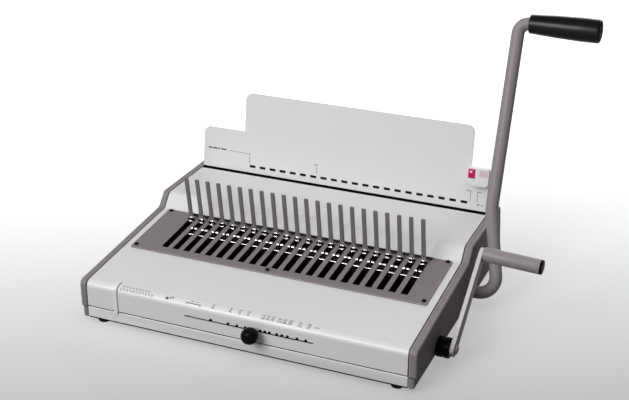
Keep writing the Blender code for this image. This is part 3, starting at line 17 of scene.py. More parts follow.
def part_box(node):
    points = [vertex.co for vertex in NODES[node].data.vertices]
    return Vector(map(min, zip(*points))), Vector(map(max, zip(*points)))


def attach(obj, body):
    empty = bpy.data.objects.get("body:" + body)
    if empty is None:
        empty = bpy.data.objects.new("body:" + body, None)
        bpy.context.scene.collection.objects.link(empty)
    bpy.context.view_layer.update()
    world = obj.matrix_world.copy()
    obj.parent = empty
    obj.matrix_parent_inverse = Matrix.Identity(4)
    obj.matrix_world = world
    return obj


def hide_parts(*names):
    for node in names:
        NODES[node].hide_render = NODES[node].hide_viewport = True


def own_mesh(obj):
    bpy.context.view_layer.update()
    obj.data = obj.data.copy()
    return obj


bl_info = {
    "name": "Comb binding machine",
    "version": (1, 0, 0),
    "blender": (4, 5, 0),
    "location": "3D View > Sidebar > Binding",
    "description": "Models and finishes the pieces of a comb binding machine on its packed solids",
    "category": "Object",
}

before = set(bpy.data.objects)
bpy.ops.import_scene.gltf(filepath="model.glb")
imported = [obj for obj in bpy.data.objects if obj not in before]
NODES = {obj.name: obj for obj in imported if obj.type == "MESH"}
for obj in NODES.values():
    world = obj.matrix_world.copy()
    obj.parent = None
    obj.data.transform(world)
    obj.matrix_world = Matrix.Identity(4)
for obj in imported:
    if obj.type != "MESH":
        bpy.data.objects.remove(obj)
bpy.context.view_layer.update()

MM = 0.001

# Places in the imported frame, in metres
COVER_LOW, COVER_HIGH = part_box("top_cover")
MIDDLE_X = (COVER_LOW.x + COVER_HIGH.x) / 2
FRONT_Y = COVER_LOW.y

# The body's side view: (y, z, corner radius), from the front foot round to the rear foot
BASE_Z = 6
SEAM_Z = 20.8
SEAM_GAP = 0.8
FRONT_TOP_Z = 52
TOP_Z = 82.4
REAR_Y = 330
SLOPE = math.atan2(14.4, 184)
BODY_CORNERS = [
    (0, BASE_Z, 0),
    (0, FRONT_TOP_Z, 8),
    (184, 66.4, 6),
    (198.3, TOP_Z, 6),
    (318, TOP_Z, 6),
    (REAR_Y, SEAM_Z, 0),
    (REAR_Y, BASE_Z, 0),
]
WALL = 2
THROAT_FRONT_Y = 286.2
THROAT_REAR_Y = 291.4
REAR_COVER_Y = 294.3
PANEL_INNER_X = 194.15
PANEL_OUTER_X = 203.35
LEFT_PANEL_OUTER_X = 202.2
PANEL_RAISE = 1
PANEL_STEP_Z = SEAM_Z - 1.3
PANEL_STEP = 2.2
PANEL_TAPER = 2.3
TRAY_WINDOW_HALF = 170.8
TRAY_WINDOW_TOP = 43.6
FOOT_X = 179.35
FOOT_YS = {"front": 11, "rear": 317}
COVER_HALF = (COVER_HIGH.x - COVER_LOW.x) / 2 / MM
COVER_END_X = COVER_HALF - 0.5

# How far a cutter reaches past the wall that it cuts
THROUGH = 6

# Comb pitch, tines and slots, with u up the slope and w square to it
PITCH = 14.2875
TINE_COUNT = 22
FIRST_TINE_X = -145.2
LAST_TINE_X = FIRST_TINE_X + (TINE_COUNT - 1) * PITCH
TINE_U = 166
TINE_THICKNESS = 2.2
TINE_FRONT_U = TINE_U - TINE_THICKNESS / 2
TINE_HEIGHT = 60
TINE_LEAN = math.radians(4)
HOOK_U = 135.5
SLOT_HALF = 4.2
SLOT_FRONT_U = 96.5
SLOT_REAR_U = 174.6
DECK_TOP_W = 1.8
DECK_HALF = 184.75
DECK_FRONT_U = 84.5
DECK_REAR_U = 181
SCREW_XS = (-180, -8, 180)
SCREW_US = (91, 177.75)
SCREW_TWIST = 37

# How far the cover's opening, the black strip of painted shadow along the deck plate's rear edge and the tine
# bar reach past the outer tines
OPENING_MARGIN = 6.2
GAP_SHADOW_MARGIN = 6.9
BAR_MARGIN = 8.4

# Levers, guide and edge stop
PANEL_BORE = 6.5
SHAFT_BORE = 5.3
ARM_LENGTH = 111.5
ARM_THICKNESS = 5
GUIDE_LEAN = 8
GUIDE_THICKNESS = 1.3
BUTTON_TRAVEL = 1.2

# Print: how deep it is set in, and the hole marks on the guide
INK_ROOT = 0.3
HOLE_COUNT = 21
FIRST_HOLE_X = -122.65

# Selector slot, its notches and the numbers over them
SELECTOR_X = 17.4
SELECTOR_Z = 35
SLOT_ENDS = (-68, 87)
NOTCH_XS = (-35, -14, -3, 7, 25, 30.5, 36, 44.6, 50.6, 57.2, 68.5, 78.6)
COMB_SIZES = ("6", "8", "10", "12", "14", "16", "19", "22", "25", "28", "32", "38")
SHEET_COUNTS = ("25", "45", "65", "90", "125", "145", "175", "210", "240", "270", "310", "375")

# Studio, in metres and watts: (name, place, size, power) of each lamp
LAMPS = (
    ("overhead_lamp", (0.0, -0.3, 2.05), (2.6, 2.6), 24),
    ("front_lamp", (-0.75, -1.95, 1.4), (1.3, 1.2), 44.5),
    ("rear_lamp", (0.2, 2.3, 1.0), (2.2, 1.2), 22),
)
LAMP_AIM = Vector((0, 0, 0.06))
CAMERA_PLACE = (0.4786, -1.20022, 0.717)
CAMERA_TURN = math.radians(22.883)
CAMERA_RISE = math.radians(24.370)
CAMERA_LENS = 70.72

# Surroundings: fill light, share in reflections, and where and how far walls give way to the ceiling
WHITE = (1, 1, 1, 1)
FILL_LIGHT = 0.11
MIRRORED_SHARE = 0.5
CEILING_START = (0.2, 0.6)
WALL_AND_CEILING = (1.0, 0.3)

# Studio floor: its way from the camera, bands along that way in metres, shades, and the share lamps light
FLOOR_WAY = (-0.389, 0.921, 0)
FLOOR_FADE = (-0.62, 0.40)
FLOOR_FRONT = (-0.3, -1.2)
FLOOR_BACK = (0.0, 0.9)
FLOOR_SHADES = (0.33, 1.0)
FLOOR_DARKEST = 0.55
LIT_SHARE = 0.4


def shift(x, y, z):
    return Matrix.Translation((x * MM, y * MM, z * MM))


def swung(degrees, axis):
    return Matrix.Rotation(math.radians(degrees), 4, axis)


# Frames that pieces are drawn in
MACHINE = Matrix.Translation((MIDDLE_X, FRONT_Y, 0))
DECK = MACHINE @ shift(0, 0, FRONT_TOP_Z) @ Matrix.Rotation(SLOPE, 4, "X")
GUIDE = MACHINE @ shift(0, THROAT_REAR_Y, 78.8) @ swung(-GUIDE_LEAN, "X")
COMB_PIVOT = MACHINE @ shift(0, 72.72, 19.976)
COMB_ARM = COMB_PIVOT @ shift(218.55, 0, 0) @ swung(-43.8, "X") @ swung(2.7, "Y")
PUNCH_PIVOT = MACHINE @ shift(0, 206, 20)
PUNCH_ARM = PUNCH_PIVOT @ swung(-20, "X")

# Drawing planes: from a place on the plane and one square to it, in millimetres, to metres
PLANES = {
    "YZ": lambda a, b, along: (along * MM, a * MM, b * MM),
    "XY": lambda a, b, along: (a * MM, b * MM, along * MM),
    "XZ": lambda a, b, along: (a * MM, along * MM, b * MM),
}


def length_property(name, description, default):
    return FloatProperty(name=name, description=description, default=default * MM, min=0, unit="LENGTH")


def colour_property(name, description, default):
    return FloatVectorProperty(
        name=name, description=description, subtype="COLOR", size=3, min=0, max=1, default=default
    )


class MachineSizes(PropertyGroup):
    """Sizes of the dressed pieces that a user may change."""

    arc_steps: IntProperty(
        name="Arc steps", description="Faces along each rounded corner of an outline", default=10, min=3
    )
    round_sides: IntProperty(name="Round sides", description="Faces round a turned piece", default=56, min=12)
    cover_edge: length_property("Cover edge", "Radius of the covers' sheet edges", 0.4)
    panel_edge: length_property("Panel edge", "Radius round the side panels", 2.4)
    deck_edge: length_property("Deck edge", "Radius of the deck plate's edges", 0.45)
    tine_edge: length_property("Tine edge", "Radius along the tines", 0.4)
    lever_edge: length_property("Lever edge", "Radius along the comb lever's arm", 0.9)
    guide_edge: length_property("Guide edge", "Radius of the paper guide's edge", 0.3)
    stop_edge: length_property("Edge stop edge", "Radius round the edge stop", 1.3)
    ink_depth: length_property("Ink depth", "How far printed marks stand proud", 0.06)
    number_height: length_property("Number height", "Height of the comb size numbers", 3.0)


class MachineColours(PropertyGroup):
    """Base colours of the finishes."""

    cover: colour_property("Covers", "Pale enamel on the covers", (0.66, 0.655, 0.655))
    # Side panels: the face grey is darkened for painted shade on the side faces, and the top grey is a
    # lighter copy of it for painted light on the upper and end faces
    panel: colour_property("Side panels", "Warm grey faces of the moulded panels", (0.15, 0.13, 0.13))
    panel_top: colour_property("Panel tops", "Upper and end faces of the panels", (0.215, 0.192, 0.195))
    # Painted highlight with real rubbing: the rounded panel edges are a lighter grey than the faces
    panel_rim: colour_property("Panel rims", "Rubbed rounded edges of the panels", (0.24, 0.215, 0.218))
    deck: colour_property("Deck", "Warm grey coat on the deck plate", (0.20, 0.175, 0.178))
    deck_rim: colour_property("Deck rims", "Cut edges of the deck plate", (0.42, 0.39, 0.385))
    tine: colour_property("Tines", "Dark grey coat on the tines", (0.17, 0.152, 0.153))
    lever: colour_property("Levers", "Warm grey lacquer on both levers", (0.262, 0.232, 0.236))
    # Painted highlight with some rubbing: a much lighter copy of the lever lacquer, for the arm's front face
    lever_edge: colour_property("Lever edges", "Rubbed edge of the comb lever's arm", (0.56, 0.515, 0.52))
    chrome: colour_property("Chrome", "Bright plated hooks", (0.86, 0.85, 0.84))
    steel: colour_property("Steel", "Bare steel inside", (0.46, 0.46, 0.47))
    black: colour_property("Black plastic", "Grip, knob, hub and screws", (0.004, 0.0036, 0.004))
    rubber: colour_property("Rubber", "Feet", (0.007, 0.0065, 0.0065))
    # Near black for faces deep inside the machine, also used as painted shade in the seam, the slots, the
    # throat and under the base
    inside: colour_property("Inside", "Blackened inner faces", (0.003, 0.0026, 0.0026))
    guide: colour_property("Guide", "Paper guide sheet", (0.71, 0.71, 0.713))
    # Painted shade: a darker grey for the guide sheet's cut edge
    guide_rim: colour_property("Guide rim", "Cut edge of the guide sheet", (0.36, 0.355, 0.36))
    stop: colour_property("Edge stop", "White moulded edge stop", (0.78, 0.775, 0.79))
    button: colour_property("Button", "Bright button on the edge stop", (0.60, 0.0, 0.135))
    window: colour_property("Window", "Tinted window on the edge stop", (0.95, 0.70, 0.77))
    ink: colour_property("Ink", "Printed marks", (0.006, 0.005, 0.006))
    scale_ink: colour_property("Scale ink", "Printed scale on the front edge", (0.13, 0.11, 0.118))
    faint_ink: colour_property("Faint ink", "Fine printed lines", (0.30, 0.24, 0.26))
    # Painted shadow: near black for the strip along the deck plate's rear edge, standing for the shadow in
    # the gap there
    seal: colour_property("Seal", "Dark seal along the deck plate's rear edge", (0.008, 0.007, 0.007))
    floor: colour_property("Floor", "Studio floor as other surfaces see it", (0.12, 0.12, 0.119))


def sizes():
    return bpy.context.scene.machine_sizes


def size_of(name):
    """One of the lengths that a user may change, in millimetres."""
    return getattr(sizes(), name) / MM


def colours():
    return bpy.context.scene.machine_colours


# Outlines


def rectangle(low_a, high_a, low_b, high_b):
    return [(low_a, low_b), (high_a, low_b), (high_a, high_b), (low_a, high_b)]


def tine_span(margin):
    return FIRST_TINE_X - margin, LAST_TINE_X + margin


def moved_corners(corners, depth):
    """Each corner of an open path moved to its right by depth, mitred; radii follow the move."""
    points = [Vector(corner[:2]) for corner in corners]
    ways = [(b - a).normalized() for a, b in zip(points, points[1:])]
    moved = []
    for i, point in enumerate(points):
        before, after = ways[max(i - 1, 0)], ways[min(i, len(ways) - 1)]
        right_before, right_after = Vector((before.y, -before.x)), Vector((after.y, -after.x))
        away = (right_before + right_after) * (depth / (1 + right_before.dot(right_after)))
        bend = before.x * after.y - before.y * after.x
        radius = corners[i][2]
        if radius > 0:
            radius = max(radius + math.copysign(depth, bend), 0)
        moved.append((*(point + away), radius))
    return moved


def rounded(corners, closed=False):
    """Points along a path whose corners (a, b, radius) are rounded with arcs."""
    path = []
    count = len(corners)
    steps = sizes().arc_steps
    for i, (a, b, radius) in enumerate(corners):
        here = Vector((a, b))
        if radius == 0 or (not closed and i in (0, count - 1)):
            path.append((a, b))
            continue
        back = (Vector(corners[i - 1][:2]) - here).normalized()
        ahead = (Vector(corners[(i + 1) % count][:2]) - here).normalized()
        half = back.angle(ahead) / 2
        centre = here + (back + ahead).normalized() * (radius / math.sin(half))
        start = here + back * (radius / math.tan(half)) - centre
        end = here + ahead * (radius / math.tan(half)) - centre
        sweep = math.pi - 2 * half
        for step in range(steps + 1):
            share = step / steps
            spoke = start * math.sin((1 - share) * sweep) + end * math.sin(share * sweep)
            path.append(tuple(centre + spoke / math.sin(sweep)))
    return path


def sheet_outline(corners, thickness):
    """A bent sheet: the outer path and the same path moved inward."""
    return rounded(corners) + rounded(moved_corners(corners, thickness))[::-1]


def round_rectangle(low_a, high_a, low_b, high_b, radius):
    return rounded([(*corner, radius) for corner in rectangle(low_a, high_a, low_b, high_b)], closed=True)


def link_outline(start, start_radius, end, end_radius):
    """The outline round two circles and the flanks between them."""
    way = Vector(end) - Vector(start)
    heading = math.atan2(way.y, way.x)
    flank = math.acos((start_radius - end_radius) / way.length)
    steps = 2 * sizes().arc_steps
    outline = []
    for centre, radius, first, last in (
        (end, end_radius, heading - flank, heading + flank),
        (start, start_radius, heading + flank, heading + math.tau - flank),
    ):
        for step in range(steps + 1):
            angle = first + (last - first) * step / steps
            outline.append((centre[0] + radius * math.cos(angle), centre[1] + radius * math.sin(angle)))
    return outline


# Modelling steps


def deselect():
    active = bpy.context.view_layer.objects.active
    if active and active.mode != "OBJECT":
        bpy.ops.object.mode_set(mode="OBJECT")
    bpy.ops.object.select_all(action="DESELECT")


def pick(obj):
    deselect()
    obj.select_set(True)
    bpy.context.view_layer.objects.active = obj


@contextmanager
def editing(obj, kind="VERT"):
    """Edit mode on one object, with everything selected."""
    pick(obj)
    bpy.ops.object.mode_set(mode="EDIT")
    bpy.ops.mesh.select_mode(type=kind)
    bpy.ops.mesh.select_all(action="SELECT")
    yield
    bpy.ops.object.mode_set(mode="OBJECT")


@contextmanager
def editing_corners(obj, wanted):
    """Edit mode with only the corners selected that pass a test of their place."""
    pick(obj)
    bpy.context.tool_settings.mesh_select_mode = (True, False, False)
    mesh = obj.data
    mesh.polygons.foreach_set("select", [False] * len(mesh.polygons))
    mesh.edges.foreach_set("select", [False] * len(mesh.edges))
    mesh.vertices.foreach_set("select", [wanted(corner.co) for corner in mesh.vertices])
    bpy.ops.object.mode_set(mode="EDIT")
    yield
    bpy.ops.object.mode_set(mode="OBJECT")


def named(name):
    obj = bpy.context.view_layer.objects.active
    obj.name = name
    obj.data.name = name
    return obj


def slab(name, outline, plane, start, end):
    """A flat face with the outline's corners, extruded square to its plane."""
    deselect()
    bpy.ops.mesh.primitive_circle_add(vertices=len(outline), fill_type="NGON")
    obj = named(name)
    for corner, (a, b) in zip(obj.data.vertices, outline):
        corner.co = PLANES[plane](a, b, start)
    with editing(obj):
        way = PLANES[plane](0, 0, end - start)
        bpy.ops.mesh.extrude_region_move(TRANSFORM_OT_translate={"value": way})
        bpy.ops.mesh.select_all(action="SELECT")
        bpy.ops.mesh.normals_make_consistent(inside=False)
    return obj


def turned(name, profile, sides=None):
    """A profile of (radius, place along X) points spun right round the X axis."""
    deselect()
    bpy.ops.mesh.primitive_circle_add(vertices=len(profile), fill_type="NOTHING")
    obj = named(name)
    for point, (radius, along) in zip(obj.data.vertices, profile):
        point.co = (along * MM, 0, radius * MM)
    if profile[0][0] == 0 and profile[-1][0] == 0:
        ends = {0, len(profile) - 1}
        pick(obj)
        bpy.context.tool_settings.mesh_select_mode = (False, True, False)
        obj.data.vertices.foreach_set("select", [False] * len(profile))
        obj.data.edges.foreach_set("select", [set(edge.vertices) == ends for edge in obj.data.edges])
        bpy.ops.object.mode_set(mode="EDIT")
        bpy.ops.mesh.delete(type="EDGE")
        bpy.ops.object.mode_set(mode="OBJECT")
    with editing(obj):
        bpy.ops.mesh.spin(
            steps=sides or sizes().round_sides, angle=math.tau, center=(0, 0, 0), axis=(1, 0, 0)
        )
        bpy.ops.mesh.select_all(action="SELECT")
        bpy.ops.mesh.remove_doubles(threshold=1e-6)
        bpy.ops.mesh.normals_make_consistent(inside=False)
    return obj


def rod(name, points, radius, resolution=8):
    """A round bar along a path of points, closed at both ends."""
    deselect()
    bpy.ops.curve.primitive_nurbs_path_add()
    obj = named(name)
    curve = obj.data
    curve.splines.clear()
    spline = curve.splines.new("POLY")
    spline.points.add(len(points) - 1)
    for place, (x, y, z) in zip(spline.points, points):
        place.co = (x * MM, y * MM, z * MM, 1)
    curve.bevel_depth = radius * MM
    curve.bevel_resolution = resolution
    curve.use_fill_caps = True
    bpy.ops.object.convert(target="MESH")
    with editing(obj):
        bpy.ops.mesh.remove_doubles(threshold=1e-7)
        bpy.ops.mesh.normals_make_consistent(inside=False)
    return obj


def settle(obj, place):
    """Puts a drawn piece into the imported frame, with its place in its mesh."""
    obj.matrix_world = place
    pick(obj)
    bpy.ops.object.transform_apply(location=True, rotation=True, scale=True)
    return obj


def bore(radius, start, end, place):
    """A cutter for a round hole along X."""
    profile = [(0, start), (radius, start), (radius, end), (0, end)]
    return settle(turned("bore", profile, 32), place)


def placed_copy(obj, name, place):
    pick(obj)
    bpy.ops.object.duplicate()
    return settle(named(name), place)


def add_modifier(obj, kind, **values):
    pick(obj)
    bpy.ops.object.modifier_add(type=kind)
    modifier = obj.modifiers[-1]
    for name, value in values.items():
        setattr(modifier, name, value)
    bpy.ops.object.modifier_apply(modifier=modifier.name)
    return obj


def combine(obj, other, operation):
    add_modifier(obj, "BOOLEAN", object=other, operation=operation, solver="EXACT")
    bpy.data.objects.remove(other)
    return obj


def cut(obj, cutter):
    return combine(obj, cutter, "DIFFERENCE")


def weld(obj, other):
    return combine(obj, other, "UNION")


def split(obj, height):
    """Cuts a piece's faces along a level line, and keeps both sides."""
    with editing(obj):
        bpy.ops.mesh.bisect(plane_co=(0, 0, height * MM), plane_no=(0, 0, 1))


def row(obj, count, step):
    """Copies along X, in one mesh."""
    return add_modifier(
        obj,
        "ARRAY",
        count=count,
        use_relative_offset=False,
        use_constant_offset=True,
        constant_offset_displace=(step * MM, 0, 0),
    )


def bevel(obj, width, segments=3, angle=40, rim=-1):
    """Rounds the sharp edges, with the rim's own material on them where one is given."""
    return add_modifier(
        obj,
        "BEVEL",
        width=width * MM,
        segments=segments,
        limit_method="ANGLE",
        angle_limit=math.radians(angle),
        material=rim,
    )


def even(obj):
    """Keeps flat faces flat beside their rounded edges."""
    return add_modifier(obj, "WEIGHTED_NORMAL", keep_sharp=True, weight=80)


def soften(obj, width, segments=3, angle=40, rim=-1):
    """Rounded edges on a smooth-shaded piece."""
    pick(obj)
    bpy.ops.object.shade_smooth()
    return even(bevel(obj, width, segments, angle, rim))


def smooth(obj, angle=30):
    pick(obj)
    bpy.ops.object.shade_smooth_by_angle(angle=math.radians(angle))
    return obj


def paint(obj, *finishes):
    obj.data.materials.clear()
    for name in finishes:
        obj.data.materials.append(finish(name))
    return obj


def repaint(obj, index, wanted):
    """Gives the faces that pass a test another of the piece's finishes."""
    for face in obj.data.polygons:
        if wanted(face):
            face.material_index = index


def segment_distance(spot, start, end):
    way = end - start
    share = max(0, min(1, (spot - start).dot(way) / way.length_squared))
    return (start + way * share - spot).length


def blacken_inside(obj, outer_path, index):
    """Gives a bent sheet's inner faces another finish, by their depth under the outer path."""
    points = [(MACHINE @ (Vector((0, y, z)) * MM)).yz for y, z in outer_path]
    lines = list(zip(points, points[1:]))

    def inner(face):
        if abs(face.normal.x) > 0.5:
            return False
        return min(segment_distance(face.center.yz, a, b) for a, b in lines) > 0.7 * WALL * MM

    repaint(obj, index, inner)


def copy_of(name, copy_name):
    """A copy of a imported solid, merged and with its flat faces made whole, to finish as a new piece."""
    deselect()
    obj = bpy.data.objects.new(copy_name, NODES[name].data.copy())
    obj.data.name = copy_name
    bpy.context.scene.collection.objects.link(obj)
    if obj.data.has_custom_normals:
        pick(obj)
        bpy.ops.mesh.customdata_custom_splitnormals_clear()
    with editing(obj):
        bpy.ops.mesh.remove_doubles(threshold=1e-6)
        bpy.ops.mesh.dissolve_limited(angle_limit=math.radians(1))
    return obj


def dress(obj, body, slot, *nodes):
    """Hands a finished piece over to the body that it moves with."""
    if obj.matrix_world != Matrix.Identity(4):
        raise RuntimeError(f"{obj.name} isn't settled into the packed frame")
    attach(obj, body)
    if nodes:
        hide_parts(*nodes)
    return obj


# Finishes


def plug(tree, made, sockets):
    """Links a node's input sockets to their sources, or sets them to plain values."""
    for socket, source in sockets.items():
        if isinstance(source, bpy.types.NodeSocket):
            tree.links.new(source, made.inputs[socket])
        else:
            made.inputs[socket].default_value = source


def node(tree, kind, sockets=None, **values):
    made = tree.nodes.new(kind)
    for name, value in values.items():
        setattr(made, name, value)
    plug(tree, made, sockets or {})
    return made


def place_of(tree):
    return node(tree, "ShaderNodeTexCoord").outputs["Object"]


def calc(tree, operation, first, second):
    return node(tree, "ShaderNodeMath", {0: first, 1: second}, operation=operation).outputs[0]


def times(tree, first, second):
    return calc(tree, "MULTIPLY", first, second)


def vector_calc(tree, operation, first, second):
    return node(tree, "ShaderNodeVectorMath", {0: first, 1: second}, operation=operation).outputs


def noise(tree, vector, scale, detail, roughness=0.5):
    sockets = {"Vector": vector, "Scale": scale, "Detail": detail, "Roughness": roughness}
    return node(tree, "ShaderNodeTexNoise", sockets).outputs["Fac"]


def spread(tree, value, low, high):
    """Stretches a part of a value's range to the whole of 0 to 1."""
    sockets = {"Value": value, "From Min": low, "From Max": high}
    return node(tree, "ShaderNodeMapRange", sockets, interpolation_type="SMOOTHSTEP").outputs["Result"]


def mapped(tree, value, low, high):
    return node(tree, "ShaderNodeMapRange", {"Value": value, "To Min": low, "To Max": high}).outputs["Result"]


def mixed(tree, factor, first, second):
    sockets = {"Factor": factor, 6: first, 7: second}
    return node(tree, "ShaderNodeMix", sockets, data_type="RGBA").outputs[2]


def shade(colour, share):
    return (*(min(1.0, part * share) for part in colour), 1)


def bumped(tree, height, strength, depth):
    sockets = {"Height": height, "Strength": strength, "Distance": depth * MM}
    return node(tree, "ShaderNodeBump", sockets).outputs["Normal"]


def new_group(name, inputs, outputs):
    """A shader node group with its sockets, and its input and output nodes."""
    tree = bpy.data.node_groups.new(name, "ShaderNodeTree")
    for label, default in inputs.items():
        socket = tree.interface.new_socket(label, in_out="INPUT", socket_type="NodeSocketFloat")
        socket.default_value = default
    for label in outputs:
        tree.interface.new_socket(label, in_out="OUTPUT", socket_type="NodeSocketFloat")
    return tree, tree.nodes.new("NodeGroupInput"), tree.nodes.new("NodeGroupOutput")


def surface_grain(name):
    """Fine mottling and the height of a sprayed or moulded surface."""
    tree, start, end = new_group(name, {"Scale": 900, "Cloud Scale": 14}, ("Tone", "Height", "Cloud"))
    place, scale = place_of(tree), start.outputs["Scale"]
    fine = noise(tree, place, scale, 4, 0.6)
    coarse = noise(tree, place, times(tree, scale, 0.31), 2)
    both = calc(tree, "ADD", fine, coarse)
    cloud = noise(tree, place, start.outputs["Cloud Scale"], 5, 0.55)
    sockets = {
        "Tone": spread(tree, both, 0.7, 1.3),
        "Height": times(tree, both, 0.5),
        "Cloud": spread(tree, cloud, 0.35, 0.65),
    }
    plug(tree, end, sockets)
    return tree


def brush_lines(name):
    """Fine lines drawn along one axis, as on ground or plated metal."""
    tree, start, end = new_group(name, {"X": 60, "Y": 2600, "Z": 2600}, ("Tone", "Height"))
    stretch = node(tree, "ShaderNodeCombineXYZ", {axis: start.outputs[axis] for axis in "XYZ"})
    stretched = vector_calc(tree, "MULTIPLY", place_of(tree), stretch.outputs[0])[0]
    lines = noise(tree, stretched, 1.0, 3, 0.65)
    plug(tree, end, {"Tone": spread(tree, lines, 0.3, 0.7), "Height": lines})
    return tree


def handling_rubs(name):
    """Sparse thin rubs and specks of handling on a smooth surface."""
    tree, start, end = new_group(name, {"Scale": 38}, ("Mask",))
    place, scale = place_of(tree), start.outputs["Scale"]
    streaks = noise(tree, vector_calc(tree, "MULTIPLY", place, (1.0, 5.0, 2.2))[0], scale, 6, 0.7)
    patches = noise(tree, place, times(tree, scale, 0.4), 2)
    both = times(tree, spread(tree, streaks, 0.54, 0.68), spread(tree, patches, 0.5, 0.66))
    plug(tree, end, {"Mask": both})
    return tree


def group_node(tree, build, sockets=None):
    """A node for one of the shared groups, which is made when it is first asked for."""
    name = build.__name__
    shared = bpy.data.node_groups.get(name) or build(name)
    return node(tree, "ShaderNodeGroup", sockets, node_tree=shared)


def coat(
    tree,
    shader,
    colour,
    roughness,
    scale,
    tone,
    rubs=0.04,
    relief=0.15,
    depth=0.05,
    metallic=0.0,
    swing=0.06,
    specular=0.5,
):
    """A sprayed, moulded or lacquered finish: mottled colour, uneven gloss, rubs and a fine relief."""
    grain = group_node(tree, surface_grain, {"Scale": scale, "Cloud Scale": 14}).outputs
    rub = group_node(tree, handling_rubs).outputs["Mask"]
    base = mixed(tree, grain["Tone"], shade(colour, 1 - tone), shade(colour, 1 + tone))
    gloss = mapped(tree, grain["Cloud"], roughness - swing, roughness + swing)
    sockets = {
        "Base Color": mixed(tree, rub, base, shade(colour, 1 + rubs)),
        "Roughness": calc(tree, "SUBTRACT", gloss, times(tree, rub, swing)),
        "Metallic": metallic,
        "Specular IOR Level": specular,
        "Normal": bumped(tree, grain["Height"], relief, depth),
    }
    plug(tree, shader, sockets)


def metal(tree, shader, colour, roughness, lines=(60, 2600, 2600), swing=0.06, relief=0.08):
    """Bare or plated metal with brush lines and uneven polish."""
    brush = group_node(tree, brush_lines, dict(zip("XYZ", lines))).outputs
    grain = group_node(tree, surface_grain, {"Scale": 400, "Cloud Scale": 60}).outputs
    sockets = {
        "Base Color": mixed(tree, brush["Tone"], shade(colour, 0.9), shade(colour, 1.08)),
        "Roughness": mapped(tree, grain["Cloud"], roughness - swing, roughness + swing),
        "Metallic": 1.0,
        "Normal": bumped(tree, brush["Height"], relief, 0.02),
    }
    plug(tree, shader, sockets)


def clear_tint(tree, shader, colour, roughness):
    """Clear tinted plastic."""
    grain = group_node(tree, surface_grain, {"Scale": 300, "Cloud Scale": 90}).outputs
    sockets = {
        "Base Color": mixed(tree, grain["Cloud"], shade(colour, 0.96), shade(colour, 1.04)),
        "Roughness": mapped(tree, grain["Tone"], roughness - 0.04, roughness + 0.04),
        "Transmission Weight": 0.25,
        "IOR": 1.49,
    }
    plug(tree, shader, sockets)


# Each finish: builder, name of its colour, roughness, a coat's grain scale and tone, and what else differs
FINISHES = {
    "cover_enamel": (coat, "cover", 0.34, 1300, 0.018, dict(rubs=0.02, relief=0.12)),
    "panel_plastic": (coat, "panel", 0.55, 1500, 0.1, dict(relief=0.35, depth=0.06, specular=0.15)),
    "panel_top": (coat, "panel_top", 0.5, 1500, 0.09, dict(relief=0.35, depth=0.06, specular=0.25)),
    "panel_rim": (coat, "panel_rim", 0.42, 1500, 0.08, dict(rubs=0.12, relief=0.2, specular=0.3)),
    "deck_coat": (coat, "deck", 0.46, 1600, 0.07, dict(rubs=0.16, relief=0.2, specular=0.3)),
    "deck_rim": (coat, "deck_rim", 0.35, 1600, 0.1, dict(rubs=0.2, metallic=0.4)),
    "tine_coat": (coat, "tine", 0.42, 1600, 0.08, dict(rubs=0.25, specular=0.3)),
    "lever_lacquer": (coat, "lever", 0.38, 1900, 0.07, dict(rubs=0.12, relief=0.14, specular=0.22)),
    "lever_edge": (coat, "lever_edge", 0.4, 1900, 0.08, dict(rubs=0.15, relief=0.14, specular=0.22)),
    "bright_plating": (metal, "chrome", 0.16, dict(lines=(900, 260, 260), swing=0.05, relief=0.03)),
    "bare_steel": (metal, "steel", 0.38, {}),
    "moulded_black": (coat, "black", 0.34, 1700, 0.2, dict(rubs=0.8, relief=0.1, swing=0.05, specular=0.06)),
    "grip_vinyl": (coat, "black", 0.31, 2100, 0.2, dict(rubs=0.6, relief=0.3, swing=0.04, specular=0.27)),
    "foot_rubber": (coat, "rubber", 0.72, 900, 0.25, dict(rubs=1.2, relief=0.4, specular=0.15)),
    "inside_black": (coat, "inside", 0.6, 900, 0.25, dict(rubs=0.6, relief=0.3, specular=0.03)),
    "guide_plastic": (coat, "guide", 0.4, 1200, 0.014, dict(rubs=0.015, relief=0.08)),
    "guide_rim": (coat, "guide_rim", 0.45, 1200, 0.04, dict(rubs=0.05, relief=0.08)),
    "stop_plastic": (coat, "stop", 0.34, 1500, 0.015, dict(rubs=0.02, relief=0.08)),
    "button_plastic": (coat, "button", 0.26, 1500, 0.05, dict(rubs=0.1, relief=0.06)),
    "tinted_window": (clear_tint, "window", 0.16, {}),
    "ink": (coat, "ink", 0.5, 2200, 0.3, dict(rubs=0.9, relief=0.1, specular=0.12)),
    "scale_ink": (coat, "scale_ink", 0.5, 2200, 0.2, dict(rubs=0.4, relief=0.1, specular=0.2)),
    "faint_ink": (coat, "faint_ink", 0.5, 2200, 0.15, dict(rubs=0.2, relief=0.1)),
    "seal_rubber": (coat, "seal", 0.6, 1100, 0.2, dict(rubs=0.4, relief=0.3, specular=0.15)),
}


def new_finish(name):
    material = bpy.data.materials.new(name)
    material.use_nodes = True
    tree = material.node_tree
    return material, tree, tree.nodes["Principled BSDF"]


def finish(name):
    """The named finish, made when it is first asked for."""
    if name in bpy.data.materials:
        return bpy.data.materials[name]
    build, colour, *numbers, others = FINISHES[name]
    material, tree, shader = new_finish(name)
    build(tree, shader, getattr(colours(), colour)[:], *numbers, **others)
    return material


